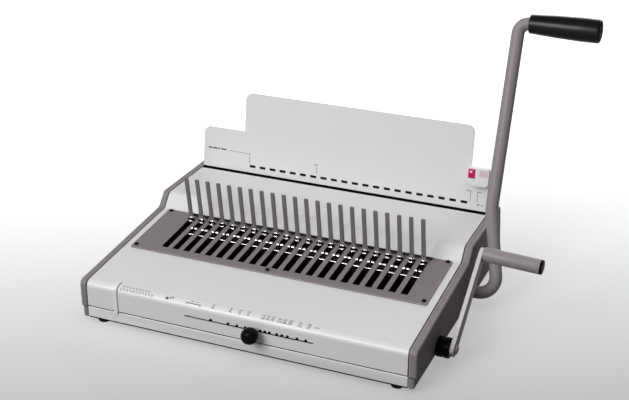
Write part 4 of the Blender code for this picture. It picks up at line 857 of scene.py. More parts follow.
class BINDING_OT_covers(Operator):
    """Models the top cover, the rear cover and the base pan"""

    bl_idname = "binding.covers"
    bl_label = "Covers"

    def execute(self, context):
        edge = size_of("cover_edge")
        corners = [(0, SEAM_Z + SEAM_GAP, 0), *BODY_CORNERS[1:4], (THROAT_FRONT_Y, TOP_Z, 0)]
        cover = self.shell("cover_shell", corners)
        opening = rectangle(*tine_span(OPENING_MARGIN), SLOT_FRONT_U - 1, SLOT_REAR_U + 1)
        cut(cover, settle(slab("opening", opening, "XY", -THROUGH, THROUGH), DECK))
        cut(cover, settle(slab("slot", self.notched_slot(), "XZ", -THROUGH, THROUGH), MACHINE))
        dress(soften(cover, edge, 2), "casing", "cover_white", "top_cover")

        corners = [(REAR_COVER_Y, TOP_Z, 0), *BODY_CORNERS[4:6], (REAR_Y, BASE_Z, 0)]
        rear = self.shell("rear_shell", corners)
        window = rectangle(-TRAY_WINDOW_HALF, TRAY_WINDOW_HALF, BASE_Z - WALL, TRAY_WINDOW_TOP)
        cut(rear, settle(slab("window", window, "XZ", REAR_Y - 2 * THROUGH, REAR_Y + THROUGH), MACHINE))
        dress(soften(rear, edge, 2), "casing", "cover_white", "rear_cover")

        pan = copy_of("base_pan", "base_pan_shell")
        seam_drop, inside_z, shadow_z = 0.4, BASE_Z + 4, BASE_Z + 1.9
        rim_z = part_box("base_pan")[1].z - 0.1 * MM
        with editing_corners(pan, lambda co: co.z > rim_z and co.y < FRONT_Y + 4 * WALL * MM):
            bpy.ops.transform.translate(value=(0, 0, -seam_drop * MM))
        # Painted shade: the pan's inner floor and the inner face of its front wall, seen through the seam,
        # are painted near black
        paint(pan, "cover_enamel", "inside_black")
        repaint(pan, 1, lambda face: face.normal.z > 0.5 and face.center.z < inside_z * MM)
        repaint(pan, 1, lambda face: face.normal.y > 0.5 and face.center.y < FRONT_Y + 2.5 * WALL * MM)
        soften(pan, 0.9, 2)
        # Painted shadow: the lowest band of the pan is painted near black, for the contact shadow under its
        # edge
        split(pan, shadow_z)
        repaint(pan, 1, lambda face: face.center.z < shadow_z * MM)
        dress(pan, "casing", "cover_white", "base_pan")
        return {"FINISHED"}

    @staticmethod
    def shell(name, corners):
        """A bent sheet from side to side, with its inner faces painted black for the shade inside the covers.
        """
        obj = slab(name, sheet_outline(corners, WALL), "YZ", -COVER_END_X, COVER_END_X)
        settle(paint(obj, "cover_enamel", "inside_black"), MACHINE)
        blacken_inside(obj, rounded(corners), 1)
        return obj

    @staticmethod
    def notched_slot():
        """The selector's slot, with tapered notches along its upper edge."""
        low, high = SELECTOR_Z - 1.1, SELECTOR_Z + 1.1
        top = high + 2.4
        wide, narrow = 1.9, 1.2
        left, right = SLOT_ENDS
        outline = [(left, high), (left, low), (right, low), (right, high)]
        for x in reversed(NOTCH_XS):
            outline += [(x + wide, high), (x + narrow, top), (x - narrow, top), (x - wide, high)]
        return outline


class BINDING_OT_side_panels(Operator):
    """Models the two moulded side panels, which step in at the seam and taper below it"""

    bl_idname = "binding.side_panels"
    bl_label = "Side panels"

    def execute(self, context):
        outline = rounded(moved_corners(BODY_CORNERS, -PANEL_RAISE))
        middle = (PANEL_INNER_X + PANEL_OUTER_X) / 2 * MM
        step_low, step_high = PANEL_STEP_Z * MM, SEAM_Z * MM
        for label, side, outer in (("left", -1, LEFT_PANEL_OUTER_X), ("right", 1, PANEL_OUTER_X)):
            panel = slab(f"{label}_panel", outline, "YZ", side * PANEL_INNER_X, side * outer)
            settle(paint(panel, "panel_plastic", "panel_rim", "panel_top", "inside_black"), MACHINE)
            bevel(panel, size_of("panel_edge"), 4, angle=50, rim=1)
            for height in (SEAM_Z, PANEL_STEP_Z):
                split(panel, height)
            for high, inset in ((PANEL_STEP_Z + 0.1, PANEL_STEP), (BASE_Z + 0.3, PANEL_TAPER)):
                with editing_corners(
                    panel, lambda co: side * (co.x - MIDDLE_X) > middle and co.z < high * MM
                ):
                    bpy.ops.transform.translate(value=(-side * inset * MM, 0, 0))
            even(smooth(panel, 32))
            # Painted light: faces that don't face sideways get the lighter top grey, while the side faces
            # keep the darkened grey as painted shade
            repaint(panel, 2, lambda face: face.material_index == 0 and abs(face.normal.x) < 0.5)
            # Painted shade: the step faces at the seam get the near black finish, for the shade in the groove
            # there
            repaint(
                panel,
                3,
                lambda face: step_low < face.center.z < step_high and side * face.normal.x > -0.5,
            )
            if side > 0:
                for pivot in (COMB_PIVOT, PUNCH_PIVOT):
                    cut(panel, bore(PANEL_BORE, PANEL_INNER_X - THROUGH, outer + THROUGH, pivot))
            dress(panel, "casing", "panel_grey", f"{label}_side_panel")
        return {"FINISHED"}


class BINDING_OT_deck(Operator):
    """Models the slotted deck plate, a black strip behind its slots that is painted shadow for the gap at its
    rear edge, and its six cross-recessed screws
    """

    bl_idname = "binding.deck"
    bl_label = "Deck plate and screws"

    def execute(self, context):
        outline = round_rectangle(-DECK_HALF, DECK_HALF, DECK_FRONT_U, DECK_REAR_U, 2)
        plate = slab("slotted_deck", outline, "XY", 0.3, DECK_TOP_W)
        slot = rectangle(FIRST_TINE_X - SLOT_HALF, FIRST_TINE_X + SLOT_HALF, SLOT_FRONT_U, SLOT_REAR_U)
        cut(plate, row(slab("slots", slot, "XY", -THROUGH, THROUGH), TINE_COUNT, PITCH))
        settle(soften(paint(plate, "deck_coat", "deck_rim"), size_of("deck_edge"), 2, rim=1), DECK)
        dress(plate, "casing", "deck_grey", "deck_plate")

        # Painted shadow: a black strip along the plate's rear edge stands for the shadow in the gap there
        strip = rectangle(*tine_span(GAP_SHADOW_MARGIN), SLOT_REAR_U + 0.4, DECK_REAR_U - 0.1)
        seal = slab("deck_rear_seal", strip, "XY", DECK_TOP_W - 0.1, DECK_TOP_W + 0.5)
        settle(soften(paint(seal, "seal_rubber"), 0.2, 2), DECK)
        dress(seal, "casing", "black_rubber")

        shank, brim, crown = 1.6, 2.7, 1.2
        foot, seat = -2.4, DECK_TOP_W + 0.3
        top = seat + 1.2
        head = rounded(
            [
                (0, foot, 0),
                (shank, foot, 0),
                (shank, seat, 0),
                (brim, seat, 0.15),
                (brim, seat + 0.8, 0.5),
                (crown, top, 0.6),
                (0, top, 0),
            ]
        )
        screw = settle(turned("deck_screw_head", head, 32), swung(-90, "Y"))
        long_half, narrow_half = 1.6, 0.35
        for half_x, half_y in ((long_half, narrow_half), (narrow_half, long_half)):
            recess = rectangle(-half_x, half_x, -half_y, half_y)
            cut(screw, slab("recess", recess, "XY", seat + 0.4, seat + THROUGH))
        paint(smooth(screw), "moulded_black")
        places = [(x, u) for u in SCREW_US for x in SCREW_XS]
        for number, (x, u) in enumerate(places, start=1):
            place = DECK @ shift(x, u, 0) @ swung(SCREW_TWIST * number, "Z")
            copy = placed_copy(screw, f"deck_screw_head_{number}", place)
            dress(copy, "casing", "black_plastic", f"deck_screw_{number}")
        bpy.data.objects.remove(screw)
        return {"FINISHED"}


class BINDING_OT_tines(Operator):
    """Models the row of upright tines on their bar, and the bright stepped clip at each tine's foot"""

    bl_idname = "binding.tines"
    bl_label = "Tines"

    def execute(self, context):
        low, high = -4.3, DECK_TOP_W + TINE_HEIGHT
        half, tip = 2.5, 0.9
        corners = [(-half, low, 0), (half, low, 0), (half, high, tip), (-half, high, tip)]
        outline = rounded(corners, closed=True)
        tines = slab("tine_row", outline, "XZ", TINE_FRONT_U, TINE_FRONT_U + TINE_THICKNESS)
        split(tines, DECK_TOP_W)
        with editing_corners(tines, lambda co: co.z > (DECK_TOP_W + 1) * MM):
            bpy.ops.transform.translate(value=(0, -math.tan(TINE_LEAN) * TINE_HEIGHT * MM, 0))
        soften(paint(tines, "tine_coat"), size_of("tine_edge"), 2)
        settle(row(tines, TINE_COUNT, PITCH), DECK @ shift(FIRST_TINE_X, 0, 0))
        dress(tines, "casing", "tine_grey", "tine_comb")

        bar_low, bar_high = -6.3, -2.3
        bar_outline = rectangle(*tine_span(BAR_MARGIN), TINE_U - 5.6, TINE_U + 8.5)
        bar = slab("tine_bar", bar_outline, "XY", bar_low, bar_high)
        settle(soften(paint(bar, "inside_black"), 0.4, 2), DECK)
        dress(bar, "casing", "tine_grey")

        foot, tread, neck, top = -2.6, 3.5, 7.2, 10.6
        clip_outline = rounded(
            [
                (-4.6, foot, 0),
                (0, foot, 0),
                (-0.4, top, 0.3),
                (-1.4, top, 0.4),
                (-1.6, neck + 0.1, 0.2),
                (-2.9, neck, 0.4),
                (-3.2, tread + 0.1, 0.2),
                (-4.6, tread, 0.5),
            ],
            closed=True,
        )
        clips = slab("tine_foot_clips", clip_outline, "YZ", -3.1, 3.7)
        soften(paint(clips, "bright_plating", "inside_black", "tine_coat"), 0.35, 2, angle=60)
        # Painted shade: clip faces that don't face up are painted near black, for the shade between the
        # bright treads
        repaint(clips, 1, lambda face: face.normal.z < 0.35)
        repaint(clips, 2, lambda face: face.center.z > (neck + 0.7) * MM)
        settle(row(clips, TINE_COUNT, PITCH), DECK @ shift(FIRST_TINE_X, TINE_FRONT_U, 0))
        dress(clips, "casing", "chrome")
        return {"FINISHED"}


class BINDING_OT_hooks(Operator):
    """Models the sliding rail and the bright hook in each slot but the first"""

    bl_idname = "binding.hooks"
    bl_label = "Hooks and rail"

    def execute(self, context):
        root, floor = -3, -1.2
        tip = DECK_TOP_W + 2.6
        prong = rounded(
            [(8.4, root, 0), (12, root, 0), (12, tip - 0.3, 1.3), (8.8, tip, 1.2)], closed=True
        )
        lip = rounded([(0.2, root, 0), (2.3, root, 0), (2.1, 0.7, 0.5), (0.4, 0.6, 0.5)], closed=True)
        hooks = slab("hook_row", rectangle(0.3, 11.9, root, floor), "YZ", -3.9, 3.9)
        for outline, low_x, high_x in ((prong, -3.9, -1.1), (prong, 0.9, 4.1), (lip, -4.1, 4.1)):
            weld(hooks, slab("part", outline, "YZ", low_x, high_x))
        soften(paint(hooks, "bright_plating", "inside_black"), 0.35, 2, angle=60)
        # Painted shade: the hooks' lowest faces are painted near black, for the shade at their base in the
        # slots
        repaint(hooks, 1, lambda face: face.center.z < (floor + 0.3) * MM)
        settle(row(hooks, TINE_COUNT - 1, PITCH), DECK @ shift(FIRST_TINE_X + PITCH, HOOK_U, 0))
        dress(hooks, "hook_rail", "chrome", "hook_rail")

        low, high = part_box("hook_rail")
        half = (high.x - low.x) / 2 / MM
        arm = half - 18
        rack_low, rack_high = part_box("hook_rack_left")
        arm_front = (DECK.inverted() @ Vector((0, rack_low.y, rack_high.z))).y / MM - 2
        front, rear = HOOK_U - 6, HOOK_U + 22
        plate_low, plate_high = -7.8, root + 0.2
        right_side = [(arm, front), (arm, arm_front), (half, arm_front), (half, rear)]
        left_side = [(-x, u) for x, u in reversed(right_side)]
        rail = slab("hook_rail_plate", right_side + left_side, "XY", plate_low, plate_high)
        settle(soften(paint(rail, "inside_black"), 0.5, 2), DECK)
        dress(rail, "hook_rail", "black_plastic")
        return {"FINISHED"}


class BINDING_OT_comb_lever(Operator):
    """Models the comb lever: black stepped hub, flat arm, round handle, end cap and bolt"""

    bl_idname = "binding.comb_lever"
    bl_label = "Comb lever"

    def execute(self, context):
        inner, outer = PANEL_OUTER_X + 0.3, 217.85
        radius, groove = 11.5, 10.3
        groove_start, groove_end = 209.8, 212
        hub_profile = rounded(
            [
                (SHAFT_BORE, inner, 0),
                (radius, inner, 0.6),
                (radius, groove_start, 0.5),
                (groove, groove_start + 0.5, 0.3),
                (groove, groove_end - 0.5, 0.3),
                (radius, groove_end, 0.5),
                (radius, outer, 0.9),
                (SHAFT_BORE, outer, 0),
            ]
        )
        hub = settle(turned("comb_hub", hub_profile), COMB_PIVOT)
        dress(smooth(paint(hub, "moulded_black")), "comb_lever", "black_plastic", "comb_lever_hub")

        arm_outline = link_outline((0, 0), 8.5, (0, ARM_LENGTH), 7)
        arm = slab("comb_arm", arm_outline, "YZ", 0, ARM_THICKNESS)
        soften(paint(arm, "lever_lacquer", "lever_edge"), size_of("lever_edge"), 3)
        # Painted highlight: the arm's front faces get the much lighter lacquer copy
        repaint(arm, 1, lambda face: face.normal.y < -0.6)
        settle(arm, COMB_ARM)
        cut(arm, bore(SHAFT_BORE, 210, 230, COMB_PIVOT))
        dress(arm, "comb_lever", "lever_grey", "comb_lever_arm")

        outside = ARM_THICKNESS + 0.3
        end = outside + 63.5
        radius, hollow = 8.3, 6.3
        top = COMB_ARM @ shift(0, 0, ARM_LENGTH)
        tube_profile = rounded(
            [(hollow, outside, 0), (radius, outside, 0.5), (radius, end, 0.4), (hollow, end, 0)],
            closed=True,
        )
        handle = settle(turned("comb_handle", tube_profile), top)
        dress(smooth(paint(handle, "lever_lacquer")), "comb_lever", "lever_grey", "comb_lever_handle")

        plug_radius, plug_end = 6, end - 8
        start = end + 0.3
        cap_end = start + 2.5
        cap_profile = rounded(
            [
                (0, plug_end, 0),
                (plug_radius, plug_end, 0.8),
                (plug_radius, start, 0),
                (radius, start, 0.2),
                (radius, cap_end, 1.4),
                (0, cap_end, 0),
            ]
        )
        cap = settle(turned("comb_handle_cap", cap_profile), top)
        dress(smooth(paint(cap, "moulded_black")), "comb_lever", "black_plastic", "comb_lever_end_cap")

        radius, socket_radius = 5, 2
        bolt_end = outside + 2
        bolt_profile = rounded(
            [(0, outside, 0), (radius, outside, 0.2), (radius, bolt_end, 1.3), (0, bolt_end, 0)]
        )
        bolt = turned("comb_pivot_bolt", bolt_profile)
        angles = [math.tau * i / 6 for i in range(6)]
        socket = [(socket_radius * math.cos(angle), socket_radius * math.sin(angle)) for angle in angles]
        cut(bolt, slab("socket", socket, "YZ", outside + 0.8, outside + THROUGH))
        settle(smooth(paint(bolt, "lever_lacquer")), COMB_ARM)
        dress(bolt, "comb_lever", "steel", "comb_lever_bolt")
        return {"FINISHED"}


class BINDING_OT_punch_lever(Operator):
    """Models the punch lever: the bent tube and its tapered black grip"""

    bl_idname = "binding.punch_lever"
    bl_label = "Punch lever"

    def execute(self, context):
        start_x, bend_x, upright_x, end_x = PANEL_OUTER_X + 0.6, 233, 211.5, 298.7
        kink, top = 99, 316.5
        path = rounded(
            [(start_x, 0, 0), (bend_x, 0, 19), (upright_x, kink, 60), (upright_x, top, 12), (end_x, top, 0)]
        )
        tube = rod("punch_tube", [(x, 0, z) for x, z in path], 7.5, resolution=10)
        settle(tube, PUNCH_ARM)
        dress(smooth(paint(tube, "lever_lacquer"), 45), "punch_lever", "lever_grey", "punch_lever_tube")

        start, end = 224, 305
        hollow = 7.8
        grip_profile = rounded(
            [
                (hollow, start, 0),
                (10.9, start, 0.9),
                (12.8, start + 32, 60),
                (13.6, start + 58, 60),
                (13.5, end, 3.4),
                (3.4, end, 0.4),
                (2.8, end - 0.8, 0.4),
                (0, end - 0.8, 0),
                (0, end - 6, 0),
                (hollow, end - 6, 0),
            ],
            closed=True,
        )
        grip = settle(turned("punch_grip", grip_profile, 64), PUNCH_ARM @ shift(0, 0, top))
        smooth(paint(grip, "grip_vinyl", "inside_black"))
        repaint(grip, 1, lambda face: face.normal.x > 0.7)
        dress(grip, "punch_lever", "black_plastic", "punch_lever_grip")
        return {"FINISHED"}


class BINDING_OT_paper_guide(Operator):
    """Models the standing paper guide with its shoulders and foot flange"""

    bl_idname = "binding.paper_guide"
    bl_label = "Paper guide"

    def execute(self, context):
        radius = 9
        left, right = -135.5, 168.5
        left_high, middle_high, right_high = 58, 109.5, 46
        outline = rounded(
            [
                (-COVER_HALF, 0, 0),
                (COVER_HALF, 0, 0),
                (COVER_HALF, right_high, radius),
                (right, right_high, 0),
                (right, middle_high, radius),
                (left, middle_high, radius),
                (left, left_high, 0),
                (-COVER_HALF, left_high, radius),
            ],
            closed=True,
        )
        sheet = slab("guide_sheet", outline, "XZ", 0, GUIDE_THICKNESS)
        flange_half = 188
        flange = slab("flange", rectangle(0.2, 9, 0.1, 1.2), "YZ", -flange_half, flange_half)
        weld(sheet, settle(flange, swung(GUIDE_LEAN, "X")))
        foot = 4.6
        split(sheet, foot)
        finishes = ("guide_plastic", "inside_black", "guide_rim")
        soften(paint(sheet, *finishes), size_of("guide_edge"), 2, angle=60, rim=2)
        # Painted shadow: the front of the foot strip is painted near black, for the shadow of the throat
        # under the guide
        repaint(sheet, 1, lambda face: face.center.z < foot * MM and face.center.y < 1.2 * MM)
        # Painted shade: the cut edge faces get the darker rim grey
        repaint(sheet, 2, lambda face: abs(face.normal.y) < 0.5 and face.center.z > 8 * MM)
        settle(sheet, GUIDE)
        dress(sheet, "casing", "guide_grey", "paper_guide")
        return {"FINISHED"}


class BINDING_OT_edge_stop(Operator):
    """Models the edge stop on the guide's right shoulder, with its button, spring and tinted window"""

    bl_idname = "binding.edge_stop"
    bl_label = "Edge stop"

    def execute(self, context):
        left, right = 165.9, 194
        low, high = 38.6, 61.6
        face, pocket = -13, -5
        button_x, button_z = 172.8, 53.6
        half_x, half_z = 4.1, 5.5
        button = (button_x - half_x, button_x + half_x, button_z - half_z, button_z + half_z)
        tile = (183, 192, 51.4, 59)
        corners = [(left, low, 9), (right, low, 5), (right, high, 5), (left, high, 5)]
        stop = slab("edge_stop_block", rounded(corners, closed=True), "XZ", face, pocket)
        overlap = pocket - 1
        fence = rectangle(left + 8.3, right - 5, 41.3, 59.3)
        weld(stop, slab("fence", fence, "XZ", overlap, -0.3))
        front, rear = GUIDE_THICKNESS + 0.3, 4.3
        foot, seat, top = 38.3, 46.3, 58.3
        saddle = [(overlap, seat), (front, seat), (front, foot), (rear, foot), (rear, top), (overlap, top)]
        weld(stop, slab("saddle", saddle, "YZ", 175, right - 6))
        soften(paint(stop, "stop_plastic"), size_of("stop_edge"), 3)
        gap = 0.3
        for bounds, depth in ((button, 6.8), (tile, 1.2)):
            cut(stop, slab("recess", self.grown(bounds, gap), "XZ", face - THROUGH, face + depth))
        settle(stop, GUIDE)
        dress(stop, "edge_stop", "cover_white", "edge_stop")

        push_face = face - BUTTON_TRAVEL
        push = slab("edge_stop_push", round_rectangle(*button, 1.2), "XZ", push_face, face + 2.8)
        settle(soften(paint(push, "button_plastic"), 0.9, 3), GUIDE)
        dress(push, "edge_stop_button", "magenta", "edge_stop_button")

        spring = copy_of("edge_stop_spring", "edge_stop_coil")
        dress(smooth(paint(spring, "bare_steel")), "edge_stop", "steel", "edge_stop_spring")
        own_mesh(spring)

        # A small white spot near the top of the button's face
        mark = round_rectangle(button_x - 2.2, button_x + 0.6, button_z + 1.2, button_z + 3.8, 0.4)
        dot = slab("edge_stop_push_mark", mark, "XZ", push_face - size_of("ink_depth"), face - 1)
        settle(smooth(paint(dot, "stop_plastic")), GUIDE)
        dress(dot, "edge_stop_button", "cover_white")

        window = slab("edge_stop_tile", rectangle(*tile), "XZ", face, face + 0.9)
        settle(soften(paint(window, "tinted_window"), 0.25, 2), GUIDE)
        dress(window, "edge_stop", "pink", "edge_stop_window")
        return {"FINISHED"}

    @staticmethod
    def grown(bounds, gap):
        low_x, high_x, low_z, high_z = bounds
        return rectangle(low_x - gap, high_x + gap, low_z - gap, high_z + gap)


class BINDING_OT_selector(Operator):
    """Models the selector's round knob and the slider behind the front wall"""

    bl_idname = "binding.selector"
    bl_label = "Selector"

    def execute(self, context):
        neck, radius, end = 4.2, 9.3, 20
        profile = rounded(
            [
                (0, 0.8, 0),
                (neck, 0.8, 0),
                (neck, 4.8, 0.5),
                (radius, 5.4, 4.2),
                (radius, end, 7.6),
                (0, end, 0),
            ]
        )
        place = MACHINE @ shift(SELECTOR_X, 0, SELECTOR_Z) @ swung(-90, "Z")
        knob = settle(turned("selector_dial", profile, 64), place)
        dress(smooth(paint(knob, "moulded_black")), "selector", "black_plastic", "selector_knob")

        slider = copy_of("selector_slider", "selector_block")
        soften(paint(slider, "moulded_black"), 0.3, 2)
        dress(slider, "selector", "black_plastic", "selector_slider")
        return {"FINISHED"}


class BINDING_OT_gauge_strip(Operator):
    """Models the thin strip that follows the slope, the front edge and the front wall"""

    bl_idname = "binding.gauge_strip"
    bl_label = "Gauge strip"

    def execute(self, context):
        left, right = -158, -153.4
        reach, gap, thickness = 12, 0.5, 1
        slope_end = (reach, FRONT_TOP_Z + reach * math.tan(SLOPE), 0)
        near = moved_corners([(0, SEAM_Z - 2, 0), BODY_CORNERS[1], slope_end], -gap)
        outline = rounded(moved_corners(near, -thickness)) + rounded(near)[::-1]
        strip = slab("gauge_strip", outline, "YZ", left, right)
        settle(soften(paint(strip, "guide_plastic"), 0.35, 3), MACHINE)
        dress(strip, "casing", "cover_white", "front_gauge_strip")
        return {"FINISHED"}


class BINDING_OT_feet(Operator):
    """Models one rubber foot and copies it to the four corners"""

    bl_idname = "binding.feet"
    bl_label = "Feet"

    def execute(self, context):
        hollow, radius, height = 1.2, 8, 5.7
        profile = rounded(
            [
                (0, hollow, 0),
                (2.6, hollow, 0.3),
                (3, 0, 0.4),
                (7, 0, 0.9),
                (radius, 3, 1.5),
                (radius, height, 0.4),
                (0, height, 0),
            ]
        )
        foot = settle(turned("rubber_foot", profile, 48), swung(-90, "Y"))
        smooth(paint(foot, "foot_rubber"))
        for end, y in FOOT_YS.items():
            for label, side in (("left", -1), ("right", 1)):
                place = MACHINE @ shift(side * FOOT_X, y, 0)
                copy = placed_copy(foot, f"rubber_foot_{end}_{label}", place)
                dress(copy, "casing", "black_rubber", f"foot_{end}_{label}")
        bpy.data.objects.remove(foot)
        return {"FINISHED"}


class BINDING_OT_chip_tray(Operator):
    """Softens the chip tray that draws out at the rear"""

    bl_idname = "binding.chip_tray"
    bl_label = "Chip tray"

    def execute(self, context):
        tray = copy_of("chip_tray", "chip_drawer")
        # The tray takes the panels' darkened grey and lighter rim grey, with their painted shade and painted
        # highlight
        soften(paint(tray, "panel_plastic", "panel_rim"), 0.5, 2, rim=1)
        dress(tray, "chip_tray", "panel_grey", "chip_tray")
        return {"FINISHED"}


class BINDING_OT_prints(Operator):
    """Prints the hole marks and lines on the guide and the comb size scale along the front edge"""

    bl_idname = "binding.prints"
    bl_label = "Printed marks"

    # Marks on the guide and on the front edge, each from low to high across and up
    guide_lines = (
        (-157, -126.9, 29.3, 30),
        (-127.7, -126.9, 16.5, 29.3),
        (-33, -32.2, 17.5, 28),
        (-36.4, -31.6, 28.6, 30),
        (170.2, 171, 15.5, 27.5),
        (165.2, 171, 27.7, 28.9),
        (178.8, 179.6, 15.5, 28.5),
        (179.6, 184, 27.5, 28.7),
        (179.5, 182.6, 11.2, 13.2),
        (184.6, 187.6, 11.2, 12.6),
    )
    guide_sizes = (
        (-187.4, -182.2, 29.4, 31),
        (-180.9, -174.4, 29.4, 31),
        (-173.6, -171, 29.4, 31),
        (-169.2, -161.4, 29.4, 31),
    )
    scale_marks = (
        (-92.2, -88.8, 2.4, 5.0),
        (-87.0, -85.8, 3.0, 6.4),
        (-85.0, -82.8, 4.4, 6.4),
        (-66.5, -48.4, 3.0, 3.8),
        (-66.5, -65.6, 1.6, 3.0),
        (-49.3, -48.4, 1.6, 3.0),
        (-61.4, -57.6, 5.4, 6.2),
        (-54.4, -52.2, 5.4, 6.2),
        (87, 92, 5.4, 6.2),
    )

    # Rows of rings on the front edge: first place across, place up the slope and count
    ring_rows = ((-146.6, 6.3, 9), (-149.2, 2.9, 11))
    ring_step = 4
    ring_radius = 1.25
    ring_line = 0.5

    # Numbers on the front edge: text size for a height, extra stroke, and how far right of their notch
    text_size = 1.4
    extra_stroke = 0.09
    number_move = 1.4

    def execute(self, context):
        proud = size_of("ink_depth")
        dash = round_rectangle(-4.2, 4.2, 11.6, 14.9, 0.6)
        dashes = slab("guide_hole_marks", dash, "XZ", -proud, INK_ROOT)
        settle(row(paint(dashes, "ink"), HOLE_COUNT, PITCH), GUIDE @ shift(FIRST_HOLE_X, 0, 0))
        dress(smooth(dashes), "casing", "black_plastic")

        for name, places, inked in (
            ("guide_lines", self.guide_lines, "faint_ink"),
            ("guide_size_marks", self.guide_sizes, "ink"),
        ):
            pieces = [slab(name, rectangle(*place), "XZ", -proud, INK_ROOT) for place in places]
            marks = settle(paint(self.joined(pieces, name), inked), GUIDE)
            dress(smooth(marks), "casing", "black_plastic")
        self.print_scale(proud)
        return {"FINISHED"}

    @staticmethod
    def joined(pieces, name):
        pick(pieces[0])
        for piece in pieces:
            piece.select_set(True)
        bpy.ops.object.join()
        return named(name)

    def ring(self, x, u):
        deselect()
        bpy.ops.mesh.primitive_circle_add(
            vertices=16, radius=self.ring_radius * MM, fill_type="NGON", location=(x * MM, u * MM, 0)
        )
        obj = named("ring")
        with editing(obj, "FACE"):
            bpy.ops.mesh.inset(thickness=self.ring_line * MM)
            bpy.ops.mesh.delete(type="FACE")
        return obj

    @staticmethod
    def flat_mark(place):
        """A flat patch in small faces, so that it can bend over the front edge."""
        obj = slab("mark", rectangle(*place), "XY", 0, 1)
        with editing_corners(obj, lambda co: co.z > 0.5 * MM):
            bpy.ops.mesh.delete(type="VERT")
        with editing(obj):
            bpy.ops.mesh.subdivide(number_cuts=4)
        return obj

    def number(self, label, height, x, foot):
        deselect()
        bpy.ops.object.text_add()
        obj = named("number")
        obj.data.body = label
        obj.data.size = height * self.text_size * MM
        obj.data.offset = self.extra_stroke * MM
        obj.data.align_x = "CENTER"
        obj.location = ((x + self.number_move) * MM, foot * MM, 0)
        bpy.ops.object.convert(target="MESH")
        return obj

    def print_scale(self, proud):
        """Rings, a line and the numbers over the selector's notches, wrapped onto the front edge."""
        flat_marks = []
        for first, u, count in self.ring_rows:
            flat_marks += [self.ring(first + self.ring_step * i, u) for i in range(count)]
        flat_marks += [self.flat_mark(place) for place in self.scale_marks]
        for labels, height, foot in ((COMB_SIZES, size_of("number_height"), 6.2), (SHEET_COUNTS, 2.3, 2.9)):
            flat_marks += [self.number(label, height, x, foot) for x, label in zip(NOTCH_XS, labels)]
        for mark in flat_marks:
            pick(mark)
            bpy.ops.object.transform_apply(location=True, rotation=True, scale=True)
        scale = self.joined(flat_marks, "front_scale_marks")
        with editing(scale):
            bpy.ops.mesh.quads_convert_to_tris()
            bpy.ops.mesh.subdivide(number_cuts=1)
        settle(paint(scale, "scale_ink"), DECK @ shift(0, 0, 4))
        add_modifier(
            scale,
            "SHRINKWRAP",
            target=bpy.data.objects["cover_shell"],
            wrap_method="PROJECT",
            use_project_z=True,
            use_negative_direction=True,
            use_positive_direction=False,
            offset=proud * MM,
        )
        dress(smooth(scale), "casing", "black_plastic")


class BINDING_OT_inner_works(Operator):
    """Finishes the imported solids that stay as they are, inside the machine"""

    bl_idname = "binding.inner_works"
    bl_label = "Inner works"

    def execute(self, context):
        dark = ("hook_guide_left", "hook_guide_right", "hook_rack_left", "hook_rack_right", "selector_rod")
        for name, obj in NODES.items():
            if not obj.hide_render:
                paint(obj, "inside_black" if name in dark else "bare_steel")
        return {"FINISHED"}


def seen_rays(tree):
    """1 for rays from the camera and clear pieces, less for mirrored ones, 0 for light passed on."""
    rays = node(tree, "ShaderNodeLightPath").outputs
    mirrored = times(tree, rays["Is Glossy Ray"], MIRRORED_SHARE)
    direct = calc(tree, "MAXIMUM", rays["Is Camera Ray"], mirrored)
    return calc(tree, "MAXIMUM", direct, rays["Is Transmission Ray"])


